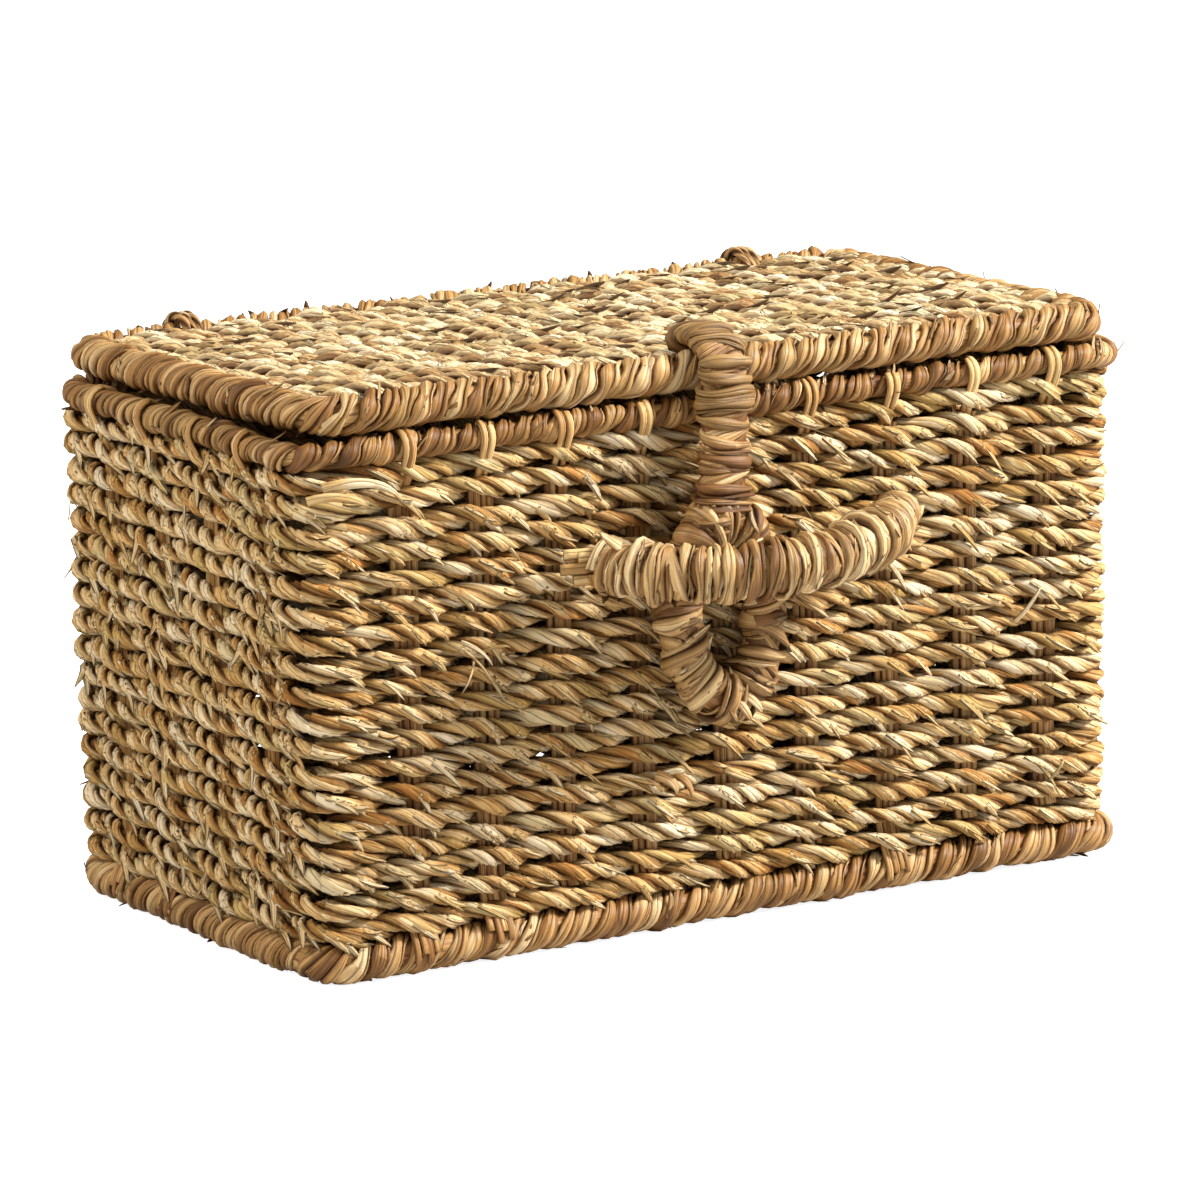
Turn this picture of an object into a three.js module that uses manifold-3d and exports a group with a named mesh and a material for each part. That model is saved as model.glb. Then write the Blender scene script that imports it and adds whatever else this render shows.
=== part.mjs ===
// A lidded case woven from seagrass cord, with a rope clasp and a bow handle on its front.
//
// Four woven walls stand on a wrapped base rim and carry a wrapped top rim. Each wall is a pile of
// courses woven on upright stakes, and the courses turn at the corners round a corner stake.
// The lid is a woven panel inside a round border. Its rear border turns in two ties round the top rim.
// A rope loop comes out of the lid, bends over its front border and is tucked behind the bow handle.
//
// Millimetres. X runs along the length, the front faces -Y, Z is up, and the case stands on Z = 0.

import * as THREE from 'three';
import { mergeVertices } from 'three/addons/utils/BufferGeometryUtils.js';
import Module from 'manifold-3d';

const wasm = await Module();
wasm.setup();

// Case
const boxLength = 360;
const boxWidth = 194;
const bodyHeight = 200;
const wallThickness = 15;
const wallCourses = 18;
const baseThickness = 12;
const baseCourses = 17;
const grooveDepth = 2;
const baseRimDiameter = 15;
const topRimDiameter = 11;
const stakeDiameter = 5;
const longWallStakes = 9;
const shortWallStakes = 4;

// Lid
const lidSetback = 4;
const lidBorderDiameter = 15;
const lidPanelThickness = 11;
const lidPanelRise = 1.5;
const lidCourses = 17;
const lidGrooveDepth = 1.5;
const lidRibDiameter = 4;
const lidRibs = 9;

// Ties that hinge the lid to the top rim, each in the middle of a bay between two stakes
const tieWidth = 12;
const tieThickness = 2.5;
const tieBay = 1.5;

// Bow handle
const handleCentre = 0.5;
const handleHeight = 147;
const handleSpan = 126;
const handleReach = 47;
const handleEndReach = 8;
const handleDiameter = 21.5;
const handleRise = 7;
const handleDroop = 4;
const handleSocketDepth = 4;
const handleTurns = 20.5;

// Rope clasp
const claspCentre = -6;
const claspLean = 5;
const claspStemWidth = 21.5;
const claspStemThickness = 10;
const claspRopeDiameter = 17;
const ringHalfWidth = 18.5;
const ringHalfHeight = 33;
const ringCentreHeight = 121;
const ringWallGap = 0.8;
const ringTurns = 18.5;
const stemTurns = 6.5;
const archTurns = 4.5;
const archWrapEnd = 1.8;

// Leaf strip that the handle and the clasp are wrapped with
const stripThickness = 2.4;
const stripGap = 0.9;

// Clearances
const clearance = 0.3;
const lidClearance = 0.6;
const tieClearance = 0.5;

// Facets
const rodSides = 12;
const stakeSides = 8;
const cornerSteps = 4;
const bowSteps = 14;
const archSteps = 10;
const ringSteps = 24;
const ropeSides = 8;
const tieSteps = 7;
const stripSides = 6;
const stepsPerTurn = 12;
const nextTurnReach = 2;
const slightBend = 1e-5;

// Shares of a course's height at which its flat crest starts and ends
const crestStart = 0.3;
const crestEnd = 0.7;

// Places that follow from the sizes
const halfLength = boxLength / 2;
const halfWidth = boxWidth / 2;
const cornerRadius = wallThickness + clearance + stakeDiameter / 2;
const wallBottom = baseRimDiameter + clearance;
const wallTop = bodyHeight - topRimDiameter - clearance;
const longBay = boxLength / (longWallStakes + 1);
const shortBay = boxWidth / (shortWallStakes + 1);
const facetedRadius = (diameter) => diameter / 2 / Math.cos(Math.PI / rodSides);
const lidLength = boxLength - 2 * lidSetback;
const lidBay = lidLength / (lidRibs + 1);
const lidRodInset = lidBorderDiameter / 2;
const lidRodHeight = bodyHeight + lidClearance + lidRodInset;
const lidPanelMiddle = lidRodHeight + lidPanelRise;
const lidPanelTop = lidPanelMiddle + lidPanelThickness / 2;
const tieOffset = halfLength - tieBay * longBay;
const frontRod = new THREE.Vector3(claspCentre, lidRodInset - halfWidth, lidRodHeight);
const claspReach = facetedRadius(lidBorderDiameter) + clearance + claspStemThickness / 2;
const claspY = frontRod.y - claspReach;
const ringX = claspCentre - claspLean;
const ringY = -halfWidth - ringWallGap - claspRopeDiameter / 2;
const chordSag = handleDiameter / 2 * (1 - Math.cos(Math.PI / stepsPerTurn));
const wrapGap = clearance + chordSag;
const wrapBuild = stripThickness + wrapGap;

const straw = new THREE.MeshStandardMaterial({ color: 0xc9a66b, roughness: 0.75, metalness: 0 });
const leaf = new THREE.MeshStandardMaterial({ color: 0xc08f50, roughness: 0.6, metalness: 0 });
const reed = new THREE.MeshStandardMaterial({ color: 0x8a5a2c, roughness: 0.7, metalness: 0 });

// Triangles of a flat ring of points, each wound the same way as the ring itself. The flat copy is bent
// very slightly, because points that lie exactly in line would be skipped and leave gaps in the skin.
function capTriangles(ring) {
  const middle = ring.reduce((sum, p) => sum.add(p), new THREE.Vector3()).divideScalar(ring.length);
  const normal = new THREE.Vector3();
  ring.forEach((p, i) => {
    const here = p.clone().sub(middle);
    const next = ring[(i + 1) % ring.length].clone().sub(middle);
    normal.add(here.cross(next));
  });
  normal.normalize();
  const along = ring[0].clone().sub(middle).projectOnPlane(normal).normalize();
  const across = normal.clone().cross(along);
  const flat = ring.map((p) => {
    const arm = p.clone().sub(middle);
    const y = arm.dot(across);
    return new THREE.Vector2(arm.dot(along) + slightBend * y * y, y);
  });
  return THREE.ShapeUtils.triangulateShape(flat, []).map(([a, b, c]) => {
    const turn = flat[b].clone().sub(flat[a]).cross(flat[c].clone().sub(flat[a]));
    return turn > 0 ? [a, b, c] : [a, c, b];
  });
}

// A closed skin over a row of section rings, ended by flat caps or joined into a loop.
function loft(rings, loop = false) {
  const count = rings[0].length;
  const index = [];
  const rows = loop ? rings.length : rings.length - 1;
  for (let row = 0; row < rows; row++) {
    const here = row * count;
    const next = ((row + 1) % rings.length) * count;
    for (let i = 0; i < count; i++) {
      const j = (i + 1) % count;
      index.push(here + i, here + j, next + j, here + i, next + j, next + i);
    }
  }
  if (!loop) {
    const last = (rings.length - 1) * count;
    for (const [a, b, c] of capTriangles(rings[0])) index.push(a, c, b);
    for (const [a, b, c] of capTriangles(rings[rings.length - 1])) index.push(last + a, last + b, last + c);
  }
  const points = rings.flat();
  let volume = 0;
  for (let k = 0; k < index.length; k += 3) {
    const [a, b, c] = [points[index[k]], points[index[k + 1]], points[index[k + 2]]];
    volume += a.dot(b.clone().cross(c));
  }
  if (volume < 0) index.reverse();
  const geometry = new THREE.BufferGeometry();
  const places = points.flatMap((p) => [p.x, p.y, p.z]);
  geometry.setAttribute('position', new THREE.Float32BufferAttribute(places, 3));
  geometry.setIndex(index);
  return geometry;
}

// Boolean work on closed meshes: position only, with shared vertices merged.
function solid(geometry) {
  const bare = geometry.clone();
  bare.deleteAttribute('normal');
  bare.deleteAttribute('uv');
  const merged = mergeVertices(bare);
  return new wasm.Manifold(new wasm.Mesh({
    numProp: 3,
    vertProperties: merged.attributes.position.array,
    triVerts: Uint32Array.from(merged.index.array),
  }));
}

function geometryOf(body) {
  const mesh = body.getMesh();
  const geometry = new THREE.BufferGeometry();
  geometry.setAttribute('position', new THREE.BufferAttribute(mesh.vertProperties, 3));
  geometry.setIndex(new THREE.BufferAttribute(mesh.triVerts, 1));
  return geometry;
}

function piece(name, geometry, material) {
  const mesh = new THREE.Mesh(geometry, material);
  mesh.name = name;
  geometry.computeVertexNormals();
  return mesh;
}

function upright(radius, length) {
  return new THREE.CylinderGeometry(radius, radius, length, stakeSides).rotateX(Math.PI / 2);
}

// The plan of a rod that runs round a given length of case, its centre line set in from the outer face.
function rimStations(length, inset) {
  const stations = [];
  const turn = cornerRadius - inset;
  const cornerX = length / 2 - cornerRadius;
  const cornerY = halfWidth - cornerRadius;
  for (let quarter = 0; quarter < 4; quarter++) {
    const right = quarter === 0 || quarter === 3 ? 1 : -1;
    const back = quarter < 2 ? 1 : -1;
    for (let step = 0; step <= cornerSteps; step++) {
      const angle = (quarter + step / cornerSteps) * Math.PI / 2;
      const out = new THREE.Vector3(Math.cos(angle), Math.sin(angle), 0);
      const corner = new THREE.Vector3(right * cornerX, back * cornerY, 0);
      stations.push({ at: corner.addScaledVector(out, turn), out });
    }
  }
  return stations;
}

// A round rod bent into the plan of the case, with a flat of its facets at the bottom, top and sides.
function rimRod(length, diameter, height) {
  const radius = facetedRadius(diameter);
  const rings = rimStations(length, diameter / 2).map(({ at, out }) => {
    return Array.from({ length: rodSides }, (unused, k) => {
      const angle = (k + 0.5) * 2 * Math.PI / rodSides;
      const point = at.clone().addScaledVector(out, radius * Math.cos(angle));
      return point.setZ(height + radius * Math.sin(angle));
    });
  });
  return loft(rings, true);
}

// The outline of a woven sheet seen along its cords: a crest for each course, on both faces.
function wovenOutline(start, end, courses, nearFace, farFace, groove) {
  const pitch = (end - start) / courses;
  const inward = Math.sign(farFace - nearFace) * groove;
  const outline = [];
  for (let course = 0; course < courses; course++) {
    outline.push([nearFace + inward, start + course * pitch]);
    outline.push([nearFace, start + (course + crestStart) * pitch]);
    outline.push([nearFace, start + (course + crestEnd) * pitch]);
  }
  outline.push([nearFace + inward, end]);
  outline.push([farFace - inward, end]);
  for (let course = courses - 1; course >= 0; course--) {
    outline.push([farFace, start + (course + (crestStart + crestEnd) / 2) * pitch]);
    outline.push([farFace - inward, start + course * pitch]);
  }
  return outline;
}

// One wall: the woven outline carried from the middle of one rounded corner to the middle of the next.
// Quarter turns place it: 0 is the front, 1 the right, 2 the back and 3 the left.
function wall(quarter, stakeCount) {
  const alongHalf = quarter % 2 ? halfWidth : halfLength;
  const acrossHalf = quarter % 2 ? halfLength : halfWidth;
  const outline = wovenOutline(wallBottom, wallTop, wallCourses, 0, wallThickness, grooveDepth);
  const spin = new THREE.Matrix4().makeRotationZ(quarter * Math.PI / 2);
  const halfSteps = cornerSteps / 2;
  const rings = [];
  for (const side of [-1, 1]) {
    for (let step = 0; step <= halfSteps; step++) {
      const share = side < 0 ? halfSteps - step : step;
      const angle = side * share / halfSteps * Math.PI / 4;
      const back = share === halfSteps ? side * clearance / 2 : 0;
      rings.push(outline.map(([depth, height]) => {
        const turn = cornerRadius - depth;
        const along = side * (alongHalf - cornerRadius) + turn * Math.sin(angle) - back * Math.cos(angle);
        const across = acrossHalf - cornerRadius + turn * Math.cos(angle) + back * Math.sin(angle);
        return new THREE.Vector3(along, -across, height).applyMatrix4(spin);
      }));
    }
  }
  let body = solid(loft(rings));
  for (const at of stakePlaces(quarter, stakeCount)) {
    const hole = upright(stakeDiameter / 2 + clearance, 2 * bodyHeight);
    body = body.subtract(solid(hole.translate(at.x, at.y, 0)));
  }
  return body;
}

// Stakes stand in the middle of a wall's thickness, a bay apart.
function stakePlaces(quarter, count) {
  const bay = quarter % 2 ? shortBay : longBay;
  const across = (quarter % 2 ? halfLength : halfWidth) - wallThickness / 2;
  const spin = new THREE.Matrix4().makeRotationZ(quarter * Math.PI / 2);
  return Array.from({ length: count }, (unused, i) => {
    return new THREE.Vector3((i - (count - 1) / 2) * bay, -across, 0).applyMatrix4(spin);
  });
}

// A woven sheet inside a rim: its outline carried along X, with its corners rounded to the rim's inside.
function sheet(length, rimDiameter, courses, bottom, top, groove) {
  const inset = rimDiameter + clearance;
  const halfX = length / 2 - inset;
  const halfY = halfWidth - inset;
  const outline = wovenOutline(-halfY, halfY, courses, bottom, top, groove);
  const rings = [-halfX, halfX].map((x) => outline.map(([z, y]) => new THREE.Vector3(x, y, z)));
  const radius = cornerRadius - inset;
  const plan = new THREE.Shape();
  plan.absarc(halfX - radius, halfY - radius, radius, 0, Math.PI / 2);
  plan.absarc(radius - halfX, halfY - radius, radius, Math.PI / 2, Math.PI);
  plan.absarc(radius - halfX, radius - halfY, radius, Math.PI, 1.5 * Math.PI);
  plan.absarc(halfX - radius, radius - halfY, radius, 1.5 * Math.PI, 2 * Math.PI);
  const rounded = new THREE.ExtrudeGeometry(plan, {
    depth: top - bottom + 2 * clearance,
    bevelEnabled: false,
    curveSegments: cornerSteps / 2,
  });
  return solid(loft(rings)).intersect(solid(rounded.translate(0, 0, bottom - clearance)));
}

// A straight block between two corners, used to cut a notch.
function block(low, high) {
  const size = high.clone().sub(low);
  const middle = low.clone().add(high).multiplyScalar(0.5);
  return solid(new THREE.BoxGeometry(size.x, size.y, size.z).translate(middle.x, middle.y, middle.z));
}

// A tie: a flat band that goes once round the lid's rear rod and the top rim below it.
const rimRodRadius = topRimDiameter / 2;
const tieRods = [
  { y: halfWidth - lidRodInset, z: lidRodHeight, radius: facetedRadius(lidBorderDiameter) },
  { y: halfWidth - rimRodRadius, z: bodyHeight - rimRodRadius, radius: facetedRadius(topRimDiameter) },
];

// The outline of a belt stretched round both rods at a given distance from them.
function beltPath(target, offset) {
  const [upper, lower] = tieRods.map((rod) => ({ ...rod, radius: rod.radius + offset }));
  const span = Math.hypot(upper.y - lower.y, upper.z - lower.z);
  const lean = Math.atan2(upper.y - lower.y, upper.z - lower.z);
  const open = Math.asin((upper.radius - lower.radius) / span);
  target.absarc(upper.y, upper.z, upper.radius, -lean - open, Math.PI - lean + open);
  target.absarc(lower.y, lower.z, lower.radius, Math.PI - lean + open, 2 * Math.PI - lean - open);
  target.closePath();
  return target;
}

function hingeTie() {
  const band = beltPath(new THREE.Shape(), clearance + tieThickness);
  band.holes.push(beltPath(new THREE.Path(), clearance));
  const geometry = new THREE.ExtrudeGeometry(band, {
    depth: tieWidth,
    bevelEnabled: false,
    curveSegments: tieSteps,
  });
  const toSide = new THREE.Matrix4().makeBasis(
    new THREE.Vector3(0, 1, 0),
    new THREE.Vector3(0, 0, 1),
    new THREE.Vector3(1, 0, 0),
  );
  return geometry.translate(0, 0, -tieWidth / 2).applyMatrix4(toSide);
}

// Room for a tie in the lid's rear edge and in the top of the back wall.
function lidNotch(side) {
  const reach = facetedRadius(lidBorderDiameter) + clearance + tieThickness + tieClearance;
  const half = tieWidth / 2 + tieClearance;
  return block(
    new THREE.Vector3(side * tieOffset - half, tieRods[0].y - reach, lidRodHeight - lidBorderDiameter),
    new THREE.Vector3(side * tieOffset + half, halfWidth, lidRodHeight + lidBorderDiameter),
  );
}

function wallNotch(side) {
  const reach = facetedRadius(topRimDiameter) + clearance + tieThickness + tieClearance;
  const half = tieWidth / 2 + tieClearance;
  return block(
    new THREE.Vector3(side * tieOffset - half, halfWidth - 2 * wallThickness, tieRods[1].z - reach),
    new THREE.Vector3(side * tieOffset + half, halfWidth + wallThickness, bodyHeight),
  );
}

// The bow handle follows a round arc that leans out of the front wall.
const bowRise = handleReach - handleEndReach;
const bowRadius = ((handleSpan / 2) ** 2 + bowRise ** 2) / (2 * bowRise);
const bowHalfAngle = Math.asin(handleSpan / 2 / bowRadius);
const bowCentreY = -halfWidth - handleReach + bowRadius;

// A point of the bow: an angle along the arc, then a step outwards and a step up from its centre line.
function bowPoint(angle, outwards, up) {
  const across = Math.sin(angle) / Math.sin(bowHalfAngle);
  const crown = (Math.cos(angle) - Math.cos(bowHalfAngle)) / (1 - Math.cos(bowHalfAngle));
  return new THREE.Vector3(
    handleCentre + (bowRadius + outwards) * Math.sin(angle),
    bowCentreY - (bowRadius + outwards) * Math.cos(angle),
    handleHeight + handleRise / 2 * across - handleDroop * crown + up,
  );
}

// The bow's rod, each end cut flat at a depth inside the front wall.
function bowRod(radius, depth) {
  const rings = [];
  for (let step = 0; step <= bowSteps; step++) {
    rings.push(Array.from({ length: rodSides }, (unused, k) => {
      const round = (k + 0.5) * 2 * Math.PI / rodSides;
      const outwards = radius * Math.cos(round);
      const end = Math.acos((bowCentreY + halfWidth - depth) / (bowRadius + outwards));
      return bowPoint((2 * step / bowSteps - 1) * end, outwards, radius * Math.sin(round));
    }));
  }
  return loft(rings);
}

// The clasp's ring is an ellipse hanging in front of the wall.
function ringPoint(angle, forward, outwards) {
  const out = new THREE.Vector2(Math.sin(angle) / ringHalfWidth, Math.cos(angle) / ringHalfHeight);
  out.normalize();
  return new THREE.Vector3(
    ringX + ringHalfWidth * Math.sin(angle) + out.x * outwards,
    ringY - forward,
    ringCentreHeight + ringHalfHeight * Math.cos(angle) + out.y * outwards,
  );
}

// The arch turns about the lid's front rod: an angle up from the front, a step outwards and a step along X.
function archPoint(angle, outwards, sideways) {
  const radius = claspReach + outwards;
  return new THREE.Vector3(
    claspCentre + sideways,
    frontRod.y - radius * Math.cos(angle),
    frontRod.z + radius * Math.sin(angle),
  );
}

const ropeCore = claspRopeDiameter / 2 - wrapBuild;
const stemCoreX = claspStemWidth / 2 - wrapBuild;
const stemCoreY = claspStemThickness / 2 - wrapBuild;
const ringTop = ringCentreHeight + ringHalfHeight;

// The middle of the stem at a height: it leaves the arch and leans out to the top of the ring.
function stemMiddle(height) {
  const share = (frontRod.z - height) / (frontRod.z - ringTop);
  return new THREE.Vector3(claspCentre - claspLean * share, claspY + (ringY - claspY) * share, height);
}

// Stem and ring of the clasp are one doubled rope, parted below to make the ring.
function claspCore() {
  const ring = Array.from({ length: ringSteps }, (unused, step) => {
    return Array.from({ length: ropeSides }, (unusedToo, k) => {
      const round = k * 2 * Math.PI / ropeSides;
      const angle = step * 2 * Math.PI / ringSteps;
      return ringPoint(angle, ropeCore * Math.cos(round), ropeCore * Math.sin(round));
    });
  });
  const stem = [frontRod.z - clearance / 2, ringTop].map((z) => {
    return Array.from({ length: rodSides }, (unused, k) => {
      const round = k * 2 * Math.PI / rodSides;
      const arm = new THREE.Vector3(stemCoreX * Math.cos(round), stemCoreY * Math.sin(round), 0);
      return stemMiddle(z).add(arm);
    });
  });
  return geometryOf(solid(loft(ring, true)).add(solid(loft(stem))));
}

// The clasp's root: an arch over the lid's front rod, cut flat on the woven panel behind it.
function claspRoot() {
  const start = clearance / 2 / claspReach;
  const rings = [];
  for (let step = 0; step <= archSteps; step++) {
    rings.push(Array.from({ length: rodSides }, (unused, k) => {
      const round = k * 2 * Math.PI / rodSides;
      const outwards = stemCoreY * Math.cos(round);
      const foot = Math.PI - Math.asin((lidPanelTop + clearance - frontRod.z) / (claspReach + outwards));
      return archPoint(start + (foot - start) * step / archSteps, outwards, stemCoreX * Math.sin(round));
    }));
  }
  return loft(rings);
}

// A leaf strip wound round a core as one unbroken tube. place(share, angle, lift) is the point at a share
// of the core's length, an angle round it and a lift above it. The strip is as wide as the turns leave
// room for, so it narrows on the inside of a bend, and its ends run straight.
function winding(name, place, turns) {
  const steps = Math.round(turns * stepsPerTurn);
  const lift = wrapGap + stripThickness / 2;
  const nudge = 0.5 / steps;
  const angleAt = (share) => Math.PI / 2 + 2 * Math.PI * turns * share;
  const centreAt = (share) => place(share, angleAt(share), lift);
  const ringAt = (share, shift) => {
    const angle = angleAt(share);
    const along = place(share + nudge, angle, lift).sub(place(share - nudge, angle, lift));
    const pitch = along.length() / (2 * nudge * turns);
    const outwards = place(share, angle, lift + 1).sub(place(share, angle, lift)).normalize();
    along.normalize();
    return Array.from({ length: stripSides }, (unused, k) => {
      const round = k * 2 * Math.PI / stripSides;
      return centreAt(share).add(shift)
        .addScaledVector(along, (pitch - stripGap) / 2 * Math.cos(round))
        .addScaledVector(outwards, stripThickness / 2 * Math.sin(round));
    });
  };
  const straight = (share, way) => {
    const run = centreAt(share + nudge).sub(centreAt(share - nudge)).normalize();
    return run.multiplyScalar(way * stripThickness);
  };
  const none = new THREE.Vector3();
  const turned = Array.from({ length: steps + 1 }, (unused, step) => ringAt(step / steps, none));
  const rings = [ringAt(0, straight(0, -1)), ...turned, ringAt(1, straight(1, 1))];
  let least = Infinity;
  for (let row = 0; row < rings.length; row++) {
    const first = row + stepsPerTurn - nextTurnReach;
    const last = Math.min(row + stepsPerTurn + nextTurnReach, rings.length - 1);
    for (let other = first; other <= last; other++) {
      for (const p of rings[row]) {
        for (const q of rings[other]) least = Math.min(least, p.distanceTo(q));
      }
    }
  }
  console.log(`${name}: least gap between turns ${least.toFixed(2)} mm`);
  return loft(rings);
}

const handleCoreRadius = handleDiameter / 2 - wrapBuild;
const alongBow = (share, angle, lift) => {
  const radius = handleCoreRadius + lift;
  return bowPoint((2 * share - 1) * bowHalfAngle, radius * Math.cos(angle), radius * Math.sin(angle));
};

// The ring's wrap leaves out the top, where the two ropes close up under the stem.
const ringOpen = Math.asin((claspRopeDiameter / 2 + stripGap) / ringHalfWidth) + stripGap / ringHalfWidth;
const roundRing = (share, angle, lift) => {
  const radius = ropeCore + lift;
  const place = ringOpen + share * (2 * Math.PI - 2 * ringOpen);
  return ringPoint(place, radius * Math.cos(angle), radius * Math.sin(angle));
};

const stemWrapTop = frontRod.z - claspRopeDiameter / 4;
const stemWrapBottom = ringTop + claspRopeDiameter / 2;
const downStem = (share, angle, lift) => {
  const sideways = (stemCoreX + lift) * Math.sin(angle);
  const forward = (stemCoreY + lift) * Math.cos(angle);
  const middle = stemMiddle(stemWrapTop + share * (stemWrapBottom - stemWrapTop));
  return middle.add(new THREE.Vector3(sideways, -forward, 0));
};

const archWrapStart = claspRopeDiameter / 4 / claspReach;
const overArch = (share, angle, lift) => archPoint(
  archWrapStart + share * (archWrapEnd - archWrapStart),
  (stemCoreY + lift) * Math.cos(angle),
  (stemCoreX + lift) * Math.sin(angle),
);

// Case: rims, base, walls and stakes
const wallNames = ['front', 'right', 'back', 'left'];
const stakeCounts = [longWallStakes, shortWallStakes, longWallStakes, shortWallStakes];
const caseGroup = new THREE.Group();
const basePanel = sheet(boxLength, baseRimDiameter, baseCourses, 0, baseThickness, grooveDepth);
caseGroup.add(piece('base_rim', rimRod(boxLength, baseRimDiameter, baseRimDiameter / 2), leaf));
caseGroup.add(piece('base_panel', geometryOf(basePanel), straw));
caseGroup.add(piece('top_rim', rimRod(boxLength, topRimDiameter, bodyHeight - rimRodRadius), leaf));

const socket = bowRod(handleCoreRadius + clearance, handleSocketDepth);
const wallCuts = { front: [solid(socket)], back: [wallNotch(-1), wallNotch(1)], left: [], right: [] };
wallNames.forEach((name, quarter) => {
  const whole = wall(quarter, stakeCounts[quarter]);
  const cut = wallCuts[name].reduce((body, tool) => body.subtract(tool), whole);
  caseGroup.add(piece(`${name}_wall`, geometryOf(cut), straw));
  stakePlaces(quarter, stakeCounts[quarter]).forEach((at, i) => {
    const stake = piece(`${name}_stake_${i + 1}`, upright(stakeDiameter / 2, wallTop - wallBottom), reed);
    stake.position.set(at.x, at.y, (wallTop + wallBottom) / 2);
    caseGroup.add(stake);
  });
});

for (const [back, backName] of [[-1, 'front'], [1, 'back']]) {
  for (const [right, rightName] of [[-1, 'left'], [1, 'right']]) {
    const foot = baseThickness + clearance;
    const name = `corner_stake_${backName}_${rightName}`;
    const stake = piece(name, upright(stakeDiameter / 2, wallTop - foot), reed);
    stake.position.set(
      right * (halfLength - cornerRadius),
      back * (halfWidth - cornerRadius),
      (wallTop + foot) / 2,
    );
    caseGroup.add(stake);
  }
}

// Handle and ties
caseGroup.add(piece('handle_core', bowRod(handleCoreRadius, handleSocketDepth - clearance), reed));
caseGroup.add(piece('handle_wrap', winding('handle_wrap', alongBow, handleTurns), leaf));
for (const [side, sideName] of [[-1, 'left'], [1, 'right']]) {
  const tie = piece(`hinge_tie_${sideName}`, hingeTie(), straw);
  tie.position.x = side * tieOffset;
  caseGroup.add(tie);
}

// Lid
const lidGroup = new THREE.Group();
lidGroup.add(piece('lid_border', rimRod(lidLength, lidBorderDiameter, lidRodHeight), leaf));
const ribLength = boxWidth - 2 * (lidBorderDiameter + clearance);
const lidBottom = lidPanelMiddle - lidPanelThickness / 2;
let lidPanel = sheet(lidLength, lidBorderDiameter, lidCourses, lidBottom, lidPanelTop, lidGrooveDepth);
for (const side of [-1, 1]) lidPanel = lidPanel.subtract(lidNotch(side));
for (let i = 0; i < lidRibs; i++) {
  const x = (i - (lidRibs - 1) / 2) * lidBay;
  const hole = upright(lidRibDiameter / 2 + clearance, 2 * boxWidth).rotateX(Math.PI / 2);
  lidPanel = lidPanel.subtract(solid(hole.translate(x, 0, lidPanelMiddle)));
  const rib = piece(`lid_rib_${i + 1}`, upright(lidRibDiameter / 2, ribLength).rotateX(Math.PI / 2), reed);
  rib.position.set(x, 0, lidPanelMiddle);
  lidGroup.add(rib);
}
lidGroup.add(piece('lid_panel', geometryOf(lidPanel), straw));
lidGroup.add(piece('clasp_root', claspRoot(), reed));
lidGroup.add(piece('clasp_root_wrap', winding('clasp_root_wrap', overArch, archTurns), leaf));

// Clasp
const claspGroup = new THREE.Group();
claspGroup.add(piece('clasp_core', claspCore(), reed));
claspGroup.add(piece('clasp_stem_wrap', winding('clasp_stem_wrap', downStem, stemTurns), leaf));
claspGroup.add(piece('clasp_ring_wrap', winding('clasp_ring_wrap', roundRing, ringTurns), leaf));

const wovenCase = new THREE.Group();
wovenCase.add(caseGroup, lidGroup, claspGroup);
wovenCase.name = 'woven_case';

export default wovenCase;
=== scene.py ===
import math

import bpy
import numpy as np
from mathutils import Matrix


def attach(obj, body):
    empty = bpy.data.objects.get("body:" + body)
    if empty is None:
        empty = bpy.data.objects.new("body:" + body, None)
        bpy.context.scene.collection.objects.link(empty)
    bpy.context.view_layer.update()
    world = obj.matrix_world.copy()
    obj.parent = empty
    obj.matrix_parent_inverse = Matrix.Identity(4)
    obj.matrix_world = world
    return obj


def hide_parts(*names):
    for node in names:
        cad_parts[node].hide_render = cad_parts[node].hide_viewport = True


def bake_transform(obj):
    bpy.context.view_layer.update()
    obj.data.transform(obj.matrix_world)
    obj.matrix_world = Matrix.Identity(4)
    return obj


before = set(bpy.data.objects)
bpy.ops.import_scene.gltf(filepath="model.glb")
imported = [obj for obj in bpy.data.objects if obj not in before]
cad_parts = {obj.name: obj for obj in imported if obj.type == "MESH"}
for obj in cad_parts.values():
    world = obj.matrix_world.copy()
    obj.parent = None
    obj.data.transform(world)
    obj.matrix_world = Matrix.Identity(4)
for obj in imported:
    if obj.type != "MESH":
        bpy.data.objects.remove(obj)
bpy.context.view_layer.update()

MM = 0.001

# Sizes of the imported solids
HALF_LENGTH = 180.0
HALF_WIDTH = 97.0
CORNER_RADIUS = 17.8
WALL_MIDDLE = 7.5
WALL_BOTTOM = 15.3
WALL_TOP = 188.7
WALL_COURSES = 18
STAKES = (9, 4, 9, 4)
LID_HALF_LENGTH = 176.0
LID_MIDDLE = 209.6
LID_BAY = 35.2
BASE_HALF_LENGTH = 171.0
BASE_MIDDLE = 6.0
BASE_BAY = 36.0
SHEET_COURSES = 17
SHEET_HALF_WIDTH = 81.7
SHEET_REEDS = 9
TIE_PLACE = 126.0
BOW_SPAN = 126.0
BOW_DEPTH = 39.0
BOW_RADIUS = (BOW_SPAN ** 2 / 4 + BOW_DEPTH ** 2) / (2 * BOW_DEPTH)
BOW_CENTRE = (0.5, BOW_RADIUS - 144.0, 147.0)
BOW_HALF_ANGLE = math.asin(BOW_SPAN / 2 / BOW_RADIUS)
BOW_RISE = 7.0
BOW_DROOP = 4.0
CLASP_ROD = (-6.0, -89.5, 208.1)
CLASP_REACH = 13.07
RING_CENTRE = (-11.0, -106.3, 121.0)
RING_HALF = (18.5, 33.0)
RING_ROPE = (5.8, 7.2)
# The clasp's rope runs from the lid to the clasp; pieces given this body are attached to no body, their
# placing is baked into their meshes
BENDING = "lid, then clasp"

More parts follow.
